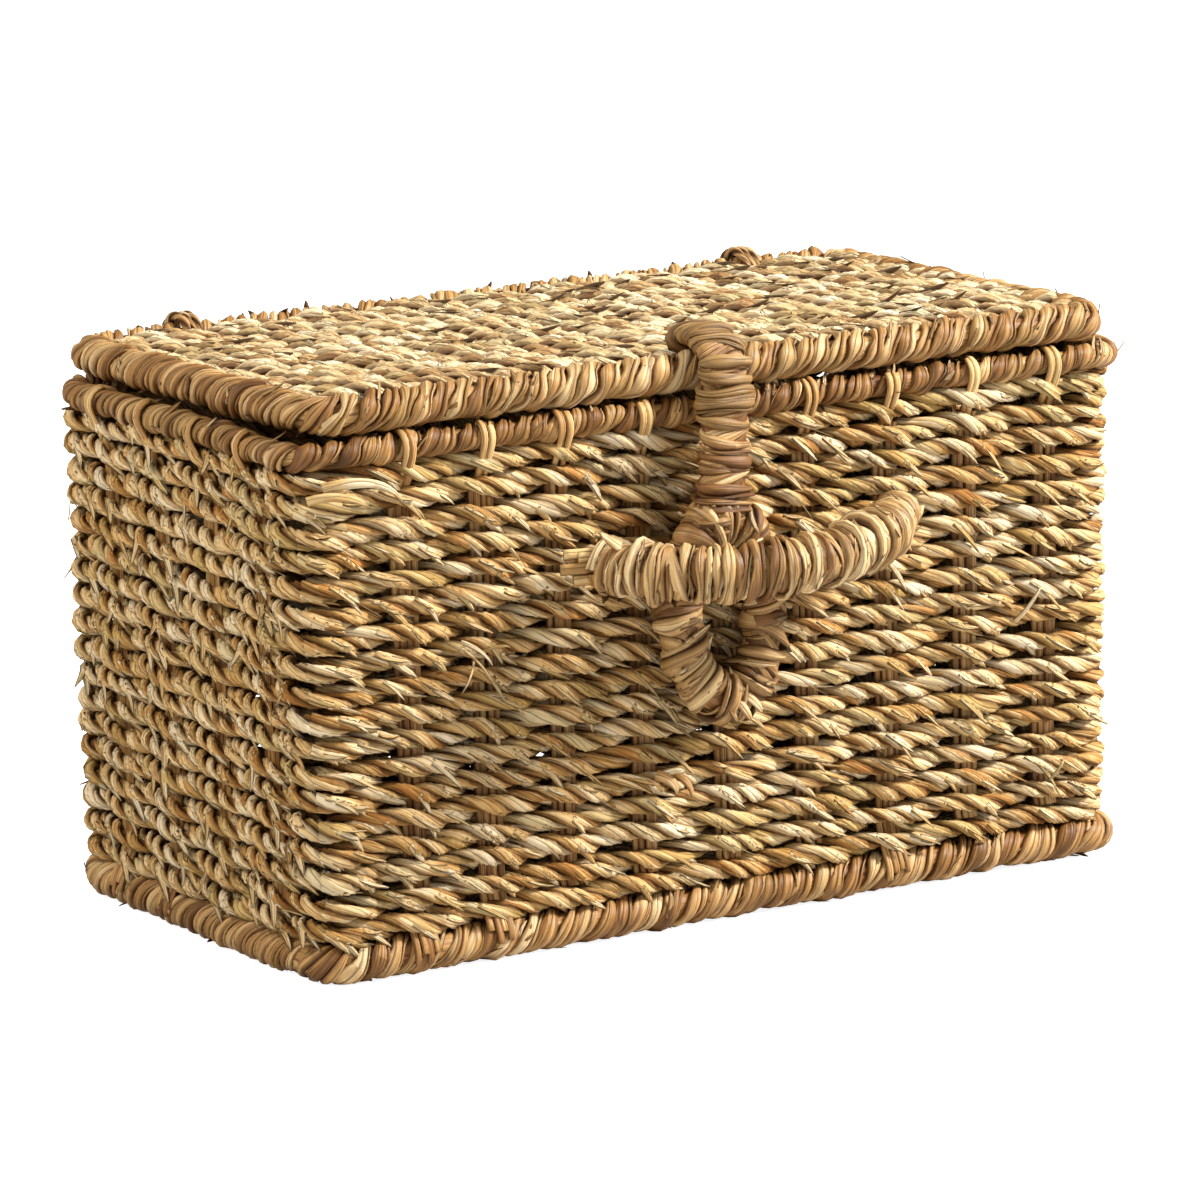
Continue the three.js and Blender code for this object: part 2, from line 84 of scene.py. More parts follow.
# Rims: diameter, and height of the middle
BASE_RIM = (15.0, 7.5)
TOP_RIM = (11.0, 194.5)
LID_BORDER = (15.0, 208.1)

# Cord: lengths of a turn, sizes of a ply, and how a pair of cords goes round the stakes
CORD_STEP = 2.2
CORD_SIDES = 8
CORD_TWIST = 30.0
LEFT_TIGHTER = 0.45
SHEET_TWIST = 20.0
SHEET_SNUG = 1.40
PLY_OFFSET = (1.75, 1.25)
PLY_HALF = (2.1, 2.55)
TWINE_FALL = 1.8
TWINE_DEPTH = 3.6
TUCK = 4.8
LOBES = 997

# Strands in general
KNOTS = 997
FLOOR_GAP = 0.15
BAKE_MARGIN = 0.06
BAKE_SHARE = 0.88


def unit(vectors):
    """Vectors brought to length one."""
    return vectors / np.maximum(np.linalg.norm(vectors, axis=-1, keepdims=True), 1e-9)


def drift(rows, places, step, seed, loop=None):
    """Smooth random rows between -1 and 1: random knots a step apart, joined by an eased blend. With a
    loop's length, the last knot meets the first."""
    count = max(2, round(loop / step)) if loop else KNOTS
    spacing = loop / count if loop else step
    knots = np.random.default_rng(seed).uniform(-1, 1, (rows, count))
    cell = np.asarray(places, float) / spacing
    first = np.floor(cell).astype(int)
    share = cell - first
    share = share * share * (3 - 2 * share)
    return knots[:, first % count] * (1 - share) + knots[:, (first + 1) % count] * share


def fan(*columns):
    """Three numbers or arrays stacked into vectors."""
    return np.stack(np.broadcast_arrays(*columns), -1).astype(float)


UP = fan(0, 0, 1)
RIGHT = fan(1, 0, 0)
FRONT = fan(0, -1, 0)


def slope(lines, loop):
    """Differences along the steps of each line: central ones, closed up on a loop."""
    if loop:
        return (np.roll(lines, -1, 1) - np.roll(lines, 1, 1)) / 2
    return np.gradient(lines, axis=1)


def angles_round(sides, shift=0.0):
    """The angles of a section's corners, evenly round it."""
    return 2 * np.pi * (np.arange(sides) + shift) / sides


def section_waves(sides, shift=0.0):
    """The cosines and sines of those angles, as columns."""
    turn = angles_round(sides, shift)[:, None]
    return np.cos(turn), np.sin(turn)


def placed(name, data):
    """A new object in the scene."""
    made = bpy.data.objects.new(name, data)
    bpy.context.scene.collection.objects.link(made)
    return made


def corner_places(begin, end, low, high):
    """The places of each quad's four corners on a map."""
    corners = ((begin, low), (begin, high), (end, high), (end, low))
    return np.stack([np.stack(corner, -1) for corner in corners], -2)


def skin(name, rings, tones, material, body, nodes=(), loop=False, rows=1):
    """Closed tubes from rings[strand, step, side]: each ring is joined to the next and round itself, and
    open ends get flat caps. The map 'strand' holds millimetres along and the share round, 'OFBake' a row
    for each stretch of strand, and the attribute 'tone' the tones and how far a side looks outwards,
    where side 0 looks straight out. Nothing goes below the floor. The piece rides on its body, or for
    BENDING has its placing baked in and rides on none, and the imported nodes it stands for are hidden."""
    count, steps, sides = rings.shape[:3]
    rings = np.maximum(rings, [-np.inf, -np.inf, FLOOR_GAP])
    runs = steps if loop else steps - 1
    index = np.arange(count * steps * sides).reshape(count, steps, sides)
    after = np.roll(index, -1, 1)[:, :runs]
    here = index[:, :runs]
    quads = np.stack([here, np.roll(here, -1, 2), np.roll(after, -1, 2), after], -1)
    middle = rings.mean((1, 2), keepdims=True)
    corners = (rings - middle).reshape(-1, 3)[quads]
    a, b, c, d = (corners[..., i, :] for i in range(4))
    volume = (np.cross(a, b) * c + np.cross(a, c) * d).sum((1, 2, 3))
    inside_out = (volume < 0)[:, None, None, None]

    centres = rings.mean(2)
    pace = np.linalg.norm(np.roll(centres, -1, 1) - centres, axis=-1)
    ends = np.cumsum(pace, 1)
    starts = ends - pace
    side = np.arange(sides)
    flat = np.zeros((count, runs, sides))
    low, high = side / sides + flat, (side + 1) / sides + flat
    strand_map = corner_places(starts[:, :runs, None] + flat, ends[:, :runs, None] + flat, low, high)
    stretch = math.ceil(runs / rows)
    run = np.arange(runs)[None, :, None]
    row = np.arange(count)[:, None, None] * rows + run // stretch + flat
    all_rows = count * rows + 1
    begin = run % stretch / stretch + flat
    low, high = ((row + BAKE_MARGIN + BAKE_SHARE * v) / all_rows for v in (low, high))
    bake_map = corner_places(begin, begin + 1 / stretch, low, high)
    quads = np.where(inside_out, quads[..., ::-1], quads)
    strand_map, bake_map = (np.where(inside_out[..., None], places[..., ::-1, :], places)
                            for places in (strand_map, bake_map))

    loops = [quads.ravel()]
    totals = [np.full(count * runs * sides, 4)]
    maps = {"strand": [strand_map.reshape(-1, 2)], "OFBake": [bake_map.reshape(-1, 2)]}
    turn = angles_round(sides)
    if not loop:
        turned = inside_out[:, :, 0, 0]
        first = np.where(turned, index[:, 0], index[:, 0, ::-1])
        last = np.where(turned, index[:, -1, ::-1], index[:, -1])
        caps = 2 * count
        loops.append(np.concatenate([first, last]).ravel())
        totals.append(np.full(caps, sides))
        spot = np.stack([np.cos(turn), np.sin(turn)], -1) * 0.4 + 0.5
        cell = np.stack([np.arange(caps) / caps, np.full(caps, (all_rows - 1) / all_rows)], -1)
        maps["OFBake"].append((cell[:, None] + spot * [1 / caps, 1 / all_rows]).reshape(-1, 2))
        maps["strand"].append(np.tile(spot, (caps, 1, 1)).reshape(-1, 2))
    loops, totals = np.concatenate(loops), np.concatenate(totals)

    mesh = bpy.data.meshes.new(name)
    mesh.vertices.add(count * steps * sides)
    mesh.vertices.foreach_set("co", (rings * MM).astype(np.float32).ravel())
    mesh.loops.add(len(loops))
    mesh.loops.foreach_set("vertex_index", loops.astype(np.int32))
    mesh.polygons.add(len(totals))
    mesh.polygons.foreach_set("loop_start", (np.cumsum(totals) - totals).astype(np.int32))
    mesh.polygons.foreach_set("use_smooth", totals == 4)
    for map_name, values in maps.items():
        layer = mesh.uv_layers.new(name=map_name)
        layer.data.foreach_set("uv", np.concatenate(values).astype(np.float32).ravel())
    colours = np.ones((count, steps, sides, 4), np.float32)
    colours[..., :3] = np.asarray(tones)[:, :, None, :]
    # How far a side looks outwards, kept in the alpha, drives the materials' painted highlight and
    # painted shade
    colours[..., 3] = 0.5 + 0.5 * np.cos(turn)
    tone = mesh.attributes.new("tone", "FLOAT_COLOR", "POINT")
    tone.data.foreach_set("color", colours.ravel())
    mesh.update(calc_edges=True)
    mesh.validate()
    mesh.materials.append(material)
    piece = placed(name, mesh)
    if body == BENDING:
        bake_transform(piece)
    else:
        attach(piece, body)
    if nodes:
        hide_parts(*nodes)


class Wire:
    """A socket of a material's nodes. Arithmetic adds Math nodes, and node() adds any other node."""

    def __init__(self, tree, socket=None):
        self.tree = tree
        self.socket = socket

    def node(self, kind, settings=(), sockets=(), output=0):
        made = self.tree.nodes.new(kind)
        for name, value in dict(settings).items():
            if name == "stops":
                ramp = made.color_ramp.elements
                while len(ramp) < len(value):
                    ramp.new(1.0)
                for element, (place, colour) in zip(ramp, value):
                    element.position = place
                    element.color = (*colour, 1.0)
            else:
                setattr(made, name, value)
        for name, value in dict(sockets).items():
            if isinstance(value, Wire):
                self.tree.links.new(value.socket, made.inputs[name])
            else:
                made.inputs[name].default_value = value
        return Wire(self.tree, made.outputs[output] if made.outputs else None)

    def of(self, output):
        return Wire(self.tree, self.socket.node.outputs[output])

    def maths(self, operation, first, second=0.0):
        return self.node("ShaderNodeMath", {"operation": operation}, {0: first, 1: second})

    def __add__(self, other):
        return self.maths("ADD", self, other)

    def __sub__(self, other):
        return self.maths("SUBTRACT", self, other)

    def __mul__(self, other):
        return self.maths("MULTIPLY", self, other)

    def __radd__(self, other):
        return self.maths("ADD", other, self)

    def __rsub__(self, other):
        return self.maths("SUBTRACT", other, self)

    def __rmul__(self, other):
        return self.maths("MULTIPLY", other, self)

    def between(self, low, high):
        """0 below low, 1 above high, eased between them."""
        return self.node("ShaderNodeMapRange", {"interpolation_type": "SMOOTHSTEP"},
                         {"Value": self, "From Min": low, "From Max": high})

    def mix(self, factor, other):
        """This colour, going over to the other as the factor goes to 1."""
        return self.node("ShaderNodeMix", {"data_type": "RGBA"}, {0: factor, 6: self, 7: other}, 2)


def cleared(owner):
    """The wire to start from in the emptied nodes of a material or a world."""
    owner.use_nodes = True
    owner.node_tree.nodes.clear()
    return Wire(owner.node_tree)


# Dry leaf: how much each thing tells in the lightness (the outward term is a painted highlight on sides
# that face out), how strong stains are, and the painted shade in creases and on inward sides
FIBRE_LIGHT = 0.92
BLADE_LIGHT = 0.28
TONE_LIGHT = 0.46
OUTWARD_PAINTED_LIGHT = 0.28
LIGHT_CUT = 0.055
FIBRE_LANES = 26.0
STAIN = 0.65
GREENING = 0.45
CREASE_PAINTED_SHADE = 0.72
INNER_SHADE = 0.9
PAINTED_SHADE_COLOUR = (0.080, 0.030, 0.007, 1.0)


def fibrous(name, stops, brown, green, blades, stray, streak, roughness, shine, relief,
            painted_shade_span=(0.12, 0.72)):
    """Dry leaf: a number of blades round a strand, each a shade of its own that changes along it, with
    painted shade in the creases between them; fine streaks along the blades; brown and green stretches by
    the strand's tone; painted shade where the strand turns inwards and a painted highlight where it faces
    out. Blades and streaks also raise the surface, by the relief in metres."""
    material = bpy.data.materials.new(name)
    start = cleared(material)
    strand_map = start.node("ShaderNodeUVMap", {"uv_map": "strand"})
    along = start.node("ShaderNodeSeparateXYZ", {}, {"Vector": strand_map})
    tint = start.node("ShaderNodeAttribute", {"attribute_name": "tone"})
    tone = start.node("ShaderNodeSeparateColor", {}, {"Color": tint})
    share = along.of("Y")
    turn = share * (2 * math.pi)
    shift = tone.of("Blue") * 61.0
    outward = tint.of("Alpha")
    ring_x, ring_y = start.maths("COSINE", turn), start.maths("SINE", turn)

    def streaks(lanes, length, detail):
        radius = lanes / (2 * math.pi)
        lane = start.node("ShaderNodeCombineXYZ", {}, {
            "X": ring_x * radius + shift, "Y": ring_y * radius, "Z": along * (1 / length)})
        return start.node("ShaderNodeTexNoise", {"noise_dimensions": "3D"},
                          {"Vector": lane, "Scale": 1.0, "Detail": detail, "Roughness": 0.6})

    fibre = streaks(FIBRE_LANES, streak, 3.0)
    lane_place = share * blades + (streaks(3.0, streak * 1.5, 1.0) - 0.5) * stray
    lane = start.maths("FLOOR", lane_place)
    edge = (lane_place - lane) * 2.0 - 1.0
    ridge = 1.0 - edge * edge
    lane = start.maths("FLOORED_MODULO", lane, blades)
    length = start.maths("FLOOR", along * (0.4 / streak) + lane * 0.37 + shift)
    spot = start.node("ShaderNodeCombineXYZ", {}, {"X": lane + 0.5, "Y": length + 0.5, "Z": shift})
    own = start.node("ShaderNodeTexWhiteNoise", {"noise_dimensions": "3D"}, {"Vector": spot})
    # The outward term paints a highlight where a side faces out and shade on its flanks
    lightness = (fibre * FIBRE_LIGHT + own * BLADE_LIGHT + (tone - 0.5) * TONE_LIGHT
                 + (outward - 0.7) * OUTWARD_PAINTED_LIGHT - LIGHT_CUT)
    colour = start.node("ShaderNodeValToRGB", {"stops": stops}, {"Fac": lightness})
    stained = (streaks(2.0, streak * 0.7, 2.0) + (0.5 - tone) * 0.30).between(0.54, 0.78)
    colour = colour.mix(stained * STAIN, (*brown, 1.0))
    colour = colour.mix(tone.of("Green").between(0.55, 1.0) * GREENING, (*green, 1.0))
    # Painted shade in the creases between blades
    colour = colour.mix((1.0 - ridge.between(0.0, 0.40)) * CREASE_PAINTED_SHADE, PAINTED_SHADE_COLOUR)
    # Painted shade where a side turns inwards
    colour = colour.mix((1.0 - outward.between(*painted_shade_span)) * INNER_SHADE, PAINTED_SHADE_COLOUR)
    height = fibre * 0.55 + ridge * 0.5
    bump = start.node("ShaderNodeBump", {}, {"Strength": 1.0, "Distance": relief, "Height": height})
    shader = start.node("ShaderNodeBsdfPrincipled", {}, {
        "Base Color": colour, "Roughness": (1.0 - fibre) * 0.25 + roughness, "Normal": bump,
        "Specular IOR Level": shine})
    start.node("ShaderNodeOutputMaterial", {}, {"Surface": shader})
    return material


CORD_FIBRES = {"blades": 5, "stray": 1.3, "streak": 13.0, "relief": 0.0008}
# Strips get painted shade over a wider span of their inward sides
STRIP_FIBRES = {"blades": 3, "stray": 1.4, "streak": 18.0, "relief": 0.0008, "roughness": 0.36,
                "painted_shade_span": (0.30, 0.98)}
CORD = fibrous(
    "seagrass_cord",
    ((0.18, (0.20, 0.075, 0.014)), (0.36, (0.44, 0.225, 0.060)), (0.52, (0.65, 0.412, 0.162)),
     (0.66, (0.73, 0.540, 0.285)), (0.84, (0.76, 0.63, 0.43))),
    brown=(0.38, 0.150, 0.030), green=(0.45, 0.34, 0.11), roughness=0.52, shine=0.11, **CORD_FIBRES)
# The lid's cord: the wall cord made paler and brighter, as painted light on the lid's top
LID_CORD_PAINTED_LIGHT = fibrous(
    "lid_cord_painted_light",
    ((0.18, (0.19, 0.080, 0.020)), (0.36, (0.40, 0.225, 0.080)), (0.52, (0.60, 0.41, 0.185)),
     (0.66, (0.79, 0.605, 0.335)), (0.84, (0.90, 0.79, 0.55))),
    brown=(0.33, 0.145, 0.036), green=(0.42, 0.33, 0.13), roughness=0.40, shine=0.45, **CORD_FIBRES)
LEAF = fibrous(
    "leaf_wrap",
    ((0.18, (0.085, 0.033, 0.007)), (0.36, (0.25, 0.115, 0.028)), (0.52, (0.45, 0.24, 0.072)),
     (0.68, (0.64, 0.40, 0.170)), (0.88, (0.88, 0.69, 0.41))),
    brown=(0.24, 0.100, 0.022), green=(0.34, 0.21, 0.058), shine=0.30, **STRIP_FIBRES)
CLASP_LEAF = fibrous(
    "clasp_leaf",
    ((0.18, (0.078, 0.031, 0.008)), (0.36, (0.24, 0.112, 0.030)), (0.52, (0.43, 0.240, 0.080)),
     (0.68, (0.62, 0.41, 0.170)), (0.88, (0.90, 0.72, 0.43))),
    brown=(0.23, 0.098, 0.024), green=(0.34, 0.22, 0.072), shine=0.32, **STRIP_FIBRES)
REED = fibrous(
    "brown_reed",
    ((0.18, (0.070, 0.022, 0.004)), (0.40, (0.20, 0.080, 0.018)), (0.55, (0.37, 0.180, 0.050)),
     (0.72, (0.54, 0.31, 0.105)), (0.88, (0.72, 0.50, 0.22))),
    brown=(0.19, 0.066, 0.015), green=(0.32, 0.21, 0.07),
    blades=4, stray=1.2, streak=24.0, roughness=0.40, shine=0.3, relief=0.0003)


def tones_of(strands, places, seed, patch, pale=0.0, loop=None, lobe=None):
    """Lightness, greenness and a number of its own for each strand and step, between 0 and 1. Where lobes
    are numbered, each has a shade of its own."""
    dice = np.random.default_rng(seed + 1)
    own = dice.uniform(0, 1, (strands, 1)) + np.zeros((strands, len(places)))
    light = 0.5 + pale + 0.32 * drift(strands, places, patch, seed + 2, loop) + 0.25 * (own - 0.5)
    green = 0.5 + 0.5 * drift(strands, places, patch * 2.2, seed + 3, loop)
    if lobe is not None:
        shade = dice.uniform(-1, 1, (2, strands, LOBES))
        light = light + 0.24 * np.take_along_axis(shade[0], lobe, 1)
        green = green + 0.30 * np.take_along_axis(shade[1], lobe, 1)
    return np.clip(np.stack([light, green, own], -1), 0, 1)


def folds(strands, sides, places, step, seed, loop):
    """How far each side of each strand folds in or out along it."""
    rows = drift(strands * sides, places, step, seed, loop)
    return rows.reshape(strands, sides, len(places)).transpose(0, 2, 1)


def cords(axis, out, across, places, turns, seed, girth=1.0, tall=1.0, deep=1.0, loop=None, whole=LOBES):
    """Two-ply cords: each ply's middle turns about the axis, by so many turns, with small lags, and its
    section is an oval whose sides fold in and out along it. tall and deep stretch the cord. Gives the
    rings, the number of a ply's turn, counted where it is hidden, and how far it faces outwards."""
    count, steps = axis.shape[:2]
    plies = 2 * count
    phase = np.random.default_rng(seed).uniform(0, 2 * np.pi, (count, 1))
    angle = 2 * np.pi * turns + phase + 1.1 * drift(count, places, 27.0, seed + 4, loop)
    angle = np.concatenate([angle, angle + np.pi])
    lobe = np.floor(angle / (2 * np.pi) + 0.5).astype(int) % whole
    thick = 1 + 0.14 * drift(plies, places, 30.0, seed + 5, loop)
    thick = thick + 0.16 * drift(plies, places, 8.0, seed + 6, loop)
    turn = angles_round(CORD_SIDES)
    fold = folds(plies, CORD_SIDES, places, 13.0, seed + 7, loop)
    edge = (thick * girth)[..., None] * (1 + 0.20 * fold)
    radial = PLY_HALF[0] * edge * np.cos(turn)
    sideways = PLY_HALF[1] * edge * np.sin(turn)
    deep, tall = (np.tile(np.broadcast_to(v, (count, steps)), (2, 1))[..., None] for v in (deep, tall))
    cos, sin = np.cos(angle)[..., None], np.sin(angle)[..., None]
    outwards = (PLY_OFFSET[0] * cos + radial * cos - sideways * sin) * deep
    over = (PLY_OFFSET[1] * sin + radial * sin + sideways * cos) * tall
    axis, out, across = (np.tile(np.broadcast_to(v, axis.shape), (2, 1, 1))[:, :, None]
                         for v in (axis, out, across))
    return axis + out * outwards[..., None] + across * over[..., None], lobe, np.cos(angle)


def twined(line, out, across, spread, places, passed, turns, depth, seed, snug, tuck, loop=None,
           whole=LOBES):
    """Courses of twined cords: the two cords of a course go round each other by half a turn from stake to
    stake, so that one lies in front of a stake and the other behind it, tucked towards the next course.
    They are flattened on a stake and squeezed where they cross. Gives the rings, the lobes, and which
    plies show."""
    count = len(spread)
    half_turn = np.pi * (passed + np.tile([0.0, 1.0], count)[:, None])
    front = np.cos(half_turn)
    rank = np.repeat(np.arange(count), 2)[:, None]
    calm = np.where(np.isin(rank, (0, count - 1)), 0.35, 1.0)
    wander = np.repeat(drift(count, places, 60.0, seed, loop), 2, 0)
    wander = wander + 0.5 * drift(2 * count, places, 17.0, seed + 1, loop)
    inward = depth * front + 0.5 * drift(2 * count, places, 35.0, seed + 2, loop)
    raised = np.where(rank == count - 1, 0.0, np.clip(rank / 3, 0, 1)) * (1 - front) / 2
    tucked = tuck * np.where(rank == 0, -0.15, raised)
    high = np.repeat(spread, 2)[:, None] - TWINE_FALL * np.sin(half_turn)
    high = high + 0.75 * calm * wander + tucked
    axis = line + out * inward[..., None] + across * high[..., None]
    past = front ** 2
    girth = 1 + 0.07 * np.random.default_rng(seed + 3).uniform(-1, 1, (2 * count, 1))
    rings, lobe, facing = cords(axis, out, -across, places, turns, seed + 4, np.tile(girth, (2, 1)),
                                snug * (0.90 + 0.16 * past), 1.04 - 0.12 * past, loop, whole)
    return rings, lobe, np.minimum(facing, np.tile(front, (2, 1)))


def leaf_ends(name, rings, showing, amount, seed, body, material, long=(7.0, 15.0),
              wide=(0.9, 1.9), lift=(0.0, 0.10)):
    """Leaf blades that leave the strands: each is a pointed strip that starts on the outer side of a
    strand where it shows, follows it, and lifts and turns away by the square of the way along."""
    dice = np.random.default_rng(seed)
    strand, step = np.nonzero(showing[:, :-4] > 0.25)
    pick = dice.choice(len(strand), amount, replace=False)
    strand, step = strand[pick], step[pick]
    start = rings[strand, step, 0]
    ahead = unit(rings[strand, step + 2, 0] - start)[:, None]
    side = unit(np.cross((start - rings[strand, step].mean(1))[:, None], ahead))
    face = np.cross(ahead, side)
    s = np.linspace(0, 1, 5)[None, :, None]

    def each(low, high):
        return dice.uniform(low, high, (amount, 1, 1))

    length = each(*long)
    away = ahead * s + face * each(*lift) * s ** 2 + side * each(-0.3, 0.3) * s ** 2
    line = start[:, None] + length * away
    line = line - face * 0.25 * (1 - s)
    half_wide = (each(*wide) * np.sqrt(1 - 0.95 * s ** 3))[..., None]
    cos, sin = section_waves(4)
    section = face[:, :, None] * 0.22 * cos + side[:, :, None] * half_wide * sin
    tones = tones_of(amount, np.linspace(0, 10, 5), seed + 1, 30.0, pale=0.08)
    skin(name, line[:, :, None] + section, tones, material, body)


def settle(points):
    """The case has settled: its ends lean out above, and the front left corner leans out to the left
    above and in below, dying away with the distance from it."""
    x, y, z = np.moveaxis(points, -1, 0)
    near = np.exp(-((x + HALF_LENGTH) ** 2 + (y + HALF_WIDTH) ** 2) / (2 * 24.0 ** 2))
    lean = near * np.clip((z - 80.0) / 100.0, -0.6, 1.0)
    flare = 3.6 * np.clip(z / 200.0, 0, 1.1) * (x / HALF_LENGTH) ** 3
    return fan(x + flare - 4.0 * lean, y - 1.0 * lean, z)


def quarter_turn(vectors, quarter):
    """Vectors turned by a number of quarter turns about the upright axis."""
    for _ in range(quarter):
        vectors = np.stack([-vectors[..., 1], vectors[..., 0], vectors[..., 2]], -1)
    return vectors


# Walls, in the order of their quarter turns. Places round them start at the front left corner.
WALLS = ("front", "right", "back", "left")
MID_RADIUS = CORNER_RADIUS - WALL_MIDDLE
REACHES = [half - CORNER_RADIUS + MID_RADIUS * np.pi / 4 for half in (HALF_LENGTH, HALF_WIDTH) * 2]
WALL_STARTS = [2 * sum(REACHES[:quarter]) for quarter in range(4)]
RIGHT_START, BACK_START, LEFT_START = WALL_STARTS[1:]
WALL_LOOP = 2 * sum(REACHES)
WRUNG_LOOP = WALL_LOOP + LEFT_TIGHTER * (WALL_LOOP - LEFT_START)
WALL_TURNS = round(WRUNG_LOOP / CORD_TWIST)
COURSES_BOTTOM = WALL_BOTTOM - 1.2
PITCH = (WALL_TOP + 1.5 - COURSES_BOTTOM) / WALL_COURSES
# Height of a cord: everywhere, more where the weave is closed, and on the left wall
SNUG = (1.07, 0.62, -0.12)
# Half turns that the cords of a course have made about each other at the corners
CORNER_TURNS = (0.0, 9.5, 13.5, 23.0, 28.0)


def weave_at(places):
    """The weave at places round the walls: turns of the cords, tighter on the left wall; height of a
    cord; and how far it is tucked. The back wall is woven closed, and the right wall half so."""
    turns = WALL_TURNS * (places + LEFT_TIGHTER * np.clip(places - LEFT_START, 0, None)) / WRUNG_LOOP
    closed = np.clip(np.minimum(places - RIGHT_START, LEFT_START - places) / 15.0, 0, 1)
    closed = closed * np.interp(places, [BACK_START - 30.0, BACK_START - 10.0], [0.5, 1.0])
    looser = np.clip(np.minimum(places - LEFT_START, WALL_LOOP - places) / 15.0, 0, 1)
    return turns, SNUG[0] + SNUG[1] * closed + SNUG[2] * looser, TUCK * closed


def stake_places(quarter):
    """Where the stakes of a wall stand along it, from its middle. Those at the front left have shifted
    inwards."""
    count = STAKES[quarter]
    length = 2 * (HALF_LENGTH, HALF_WIDTH)[quarter % 2]
    at = (np.arange(count) - (count - 1) / 2) * length / (count + 1)
    return at + 10.0 * np.clip((-at - 60.0) / 84.0, 0, 1) if quarter == 0 else at


def woven_wall(quarter):
    """One wall: courses of twined cords along the plan of the wall, from the middle of one rounded corner
    to the middle of the next, at even heights, with a slight belly. At the two right corners the cords of
    a course cross, and the two left ones count as stakes."""
    half_along, half_across = ((HALF_LENGTH, HALF_WIDTH), (HALF_WIDTH, HALF_LENGTH))[quarter % 2]
    straight = half_along - CORNER_RADIUS
    reach = REACHES[quarter]
    name = WALLS[quarter]
    t = np.linspace(-reach, reach, round(2 * reach / CORD_STEP))
    bend = np.sign(t) * np.clip(np.abs(t) - straight, 0, None) / MID_RADIUS
    out = fan(np.sin(bend), -np.cos(bend), 0)
    line = fan(np.clip(t, -straight, straight), CORNER_RADIUS - half_across, 0) + MID_RADIUS * out
    course = np.arange(WALL_COURSES) + 0.5
    belly = np.sin(np.pi * np.repeat(course, 2)[:, None] / WALL_COURSES)
    belly = np.cos(np.pi * t / (2 * reach)) * belly
    line = quarter_turn(line + out * belly[..., None], quarter)
    out = quarter_turn(out, quarter)
    marks = np.concatenate([[-reach], stake_places(quarter), [reach]])
    first, last = CORNER_TURNS[quarter:quarter + 2]
    at_stakes = math.floor(first) + 1 + np.arange(STAKES[quarter])
    passed = np.interp(t, marks, [first, *at_stakes, last])
    places = WALL_STARTS[quarter] + reach + t
    turns, snug, tuck = weave_at(places)
    heights = COURSES_BOTTOM + course * PITCH
    rings, lobe, showing = twined(line, out, UP, heights, places, passed, turns, TWINE_DEPTH, 20,
                                  snug, tuck, WALL_LOOP, WALL_TURNS)
    rings = settle(rings)
    tones = tones_of(len(rings), places, 31, 16.0, loop=WALL_LOOP, lobe=lobe)
    skin(f"{name}_wall_cords", rings, tones, CORD, "case", [f"{name}_wall"])
    amount = round(4.0 * reach)
    seed = 400 + 10 * quarter
    leaf_ends(f"{name}_leaf_blades", rings, showing, amount, seed, "case", CORD)
    leaf_ends(f"{name}_leaf_tips", rings, showing, amount // 8, seed + 3, "case", CORD,
              long=(4.0, 8.0), wide=(0.8, 1.8), lift=(0.06, 0.24))
    leaf_ends(f"{name}_stray_fibres", rings, showing, amount // 14, seed + 6, "case", CORD,
              long=(8.0, 20.0), wide=(0.12, 0.3), lift=(0.05, 0.35))
    if name in ("front", "left"):
        corner = showing * ((t if name == "left" else -t) > reach - 24.0)
        leaf_ends(f"{name}_corner_leaves", rings, corner, 70, seed + 8, "case", CORD,
                  long=(6.0, 14.0), wide=(1.0, 2.2), lift=(0.05, 0.28))


REED_SIDES = 8


def reed_rods(low, high, wide, thick, seed, lean):
    """Flat reeds between two points each: an oval section on a straight line that bows a little."""
    share = np.linspace(0, 1, 40)
    line = low[:, None] + (high - low)[:, None] * share[:, None]
    along = unit(high - low)[:, None]
    flat = unit(np.cross(along, lean))
    face = np.cross(flat, along)
    places = share * np.linalg.norm(high - low, axis=1).mean()
    count = len(low)
    line = line + flat * 0.35 * drift(count, places, 40.0, seed)[..., None]
    line = line + face * 0.35 * drift(count, places, 40.0, seed + 1)[..., None]
    cos, sin = section_waves(REED_SIDES, 0.5)
    swell = (1 + 0.15 * drift(count, places, 25.0, seed + 2))[..., None, None]
    section = flat[:, :, None] * wide * cos + face[:, :, None] * thick * sin
    return line[:, :, None] + section * swell, places


def stake_path(share):
    """The side view of a stake's reed, from over the top rim, down the middle of the wall, to round the
    base rim: distances out of the wall's outer face, heights, and the length."""
    over = np.radians(np.linspace(105, -30, 14))
    under = np.radians(np.linspace(35, -55, 10))
    top_half, base_half = TOP_RIM[0] / 2, BASE_RIM[0] / 2
    top_reach, base_reach = top_half + 0.5, base_half + 0.3
    d = np.concatenate([top_reach * np.cos(over) - top_half, [-WALL_MIDDLE] * 2,
                        base_reach * np.cos(under) - WALL_MIDDLE])
    z = np.concatenate([top_reach * np.sin(over) + TOP_RIM[1], [177.0, 24.0],
                        base_reach * np.sin(under) + BASE_RIM[1]])
    length = np.concatenate([[0], np.cumsum(np.hypot(np.diff(d), np.diff(z)))])
    fine = np.linspace(0, length[-1], 240)
    window = np.hanning(11) / np.hanning(11).sum()
    d, z = (np.convolve(np.pad(np.interp(fine, length, v), 5, "edge"), window, "valid") for v in (d, z))
    place = share * length[-1]
    return np.interp(place, fine, d), np.interp(place, fine, z), length[-1]


# Stakes that come out round the base rim, and the places of a stake's reeds
LOW_STAKES = (0, 1, 6)
STAKE_REEDS = np.array([-3.9, -1.35, 1.35, 3.9])
STAKE_STEPS = 76


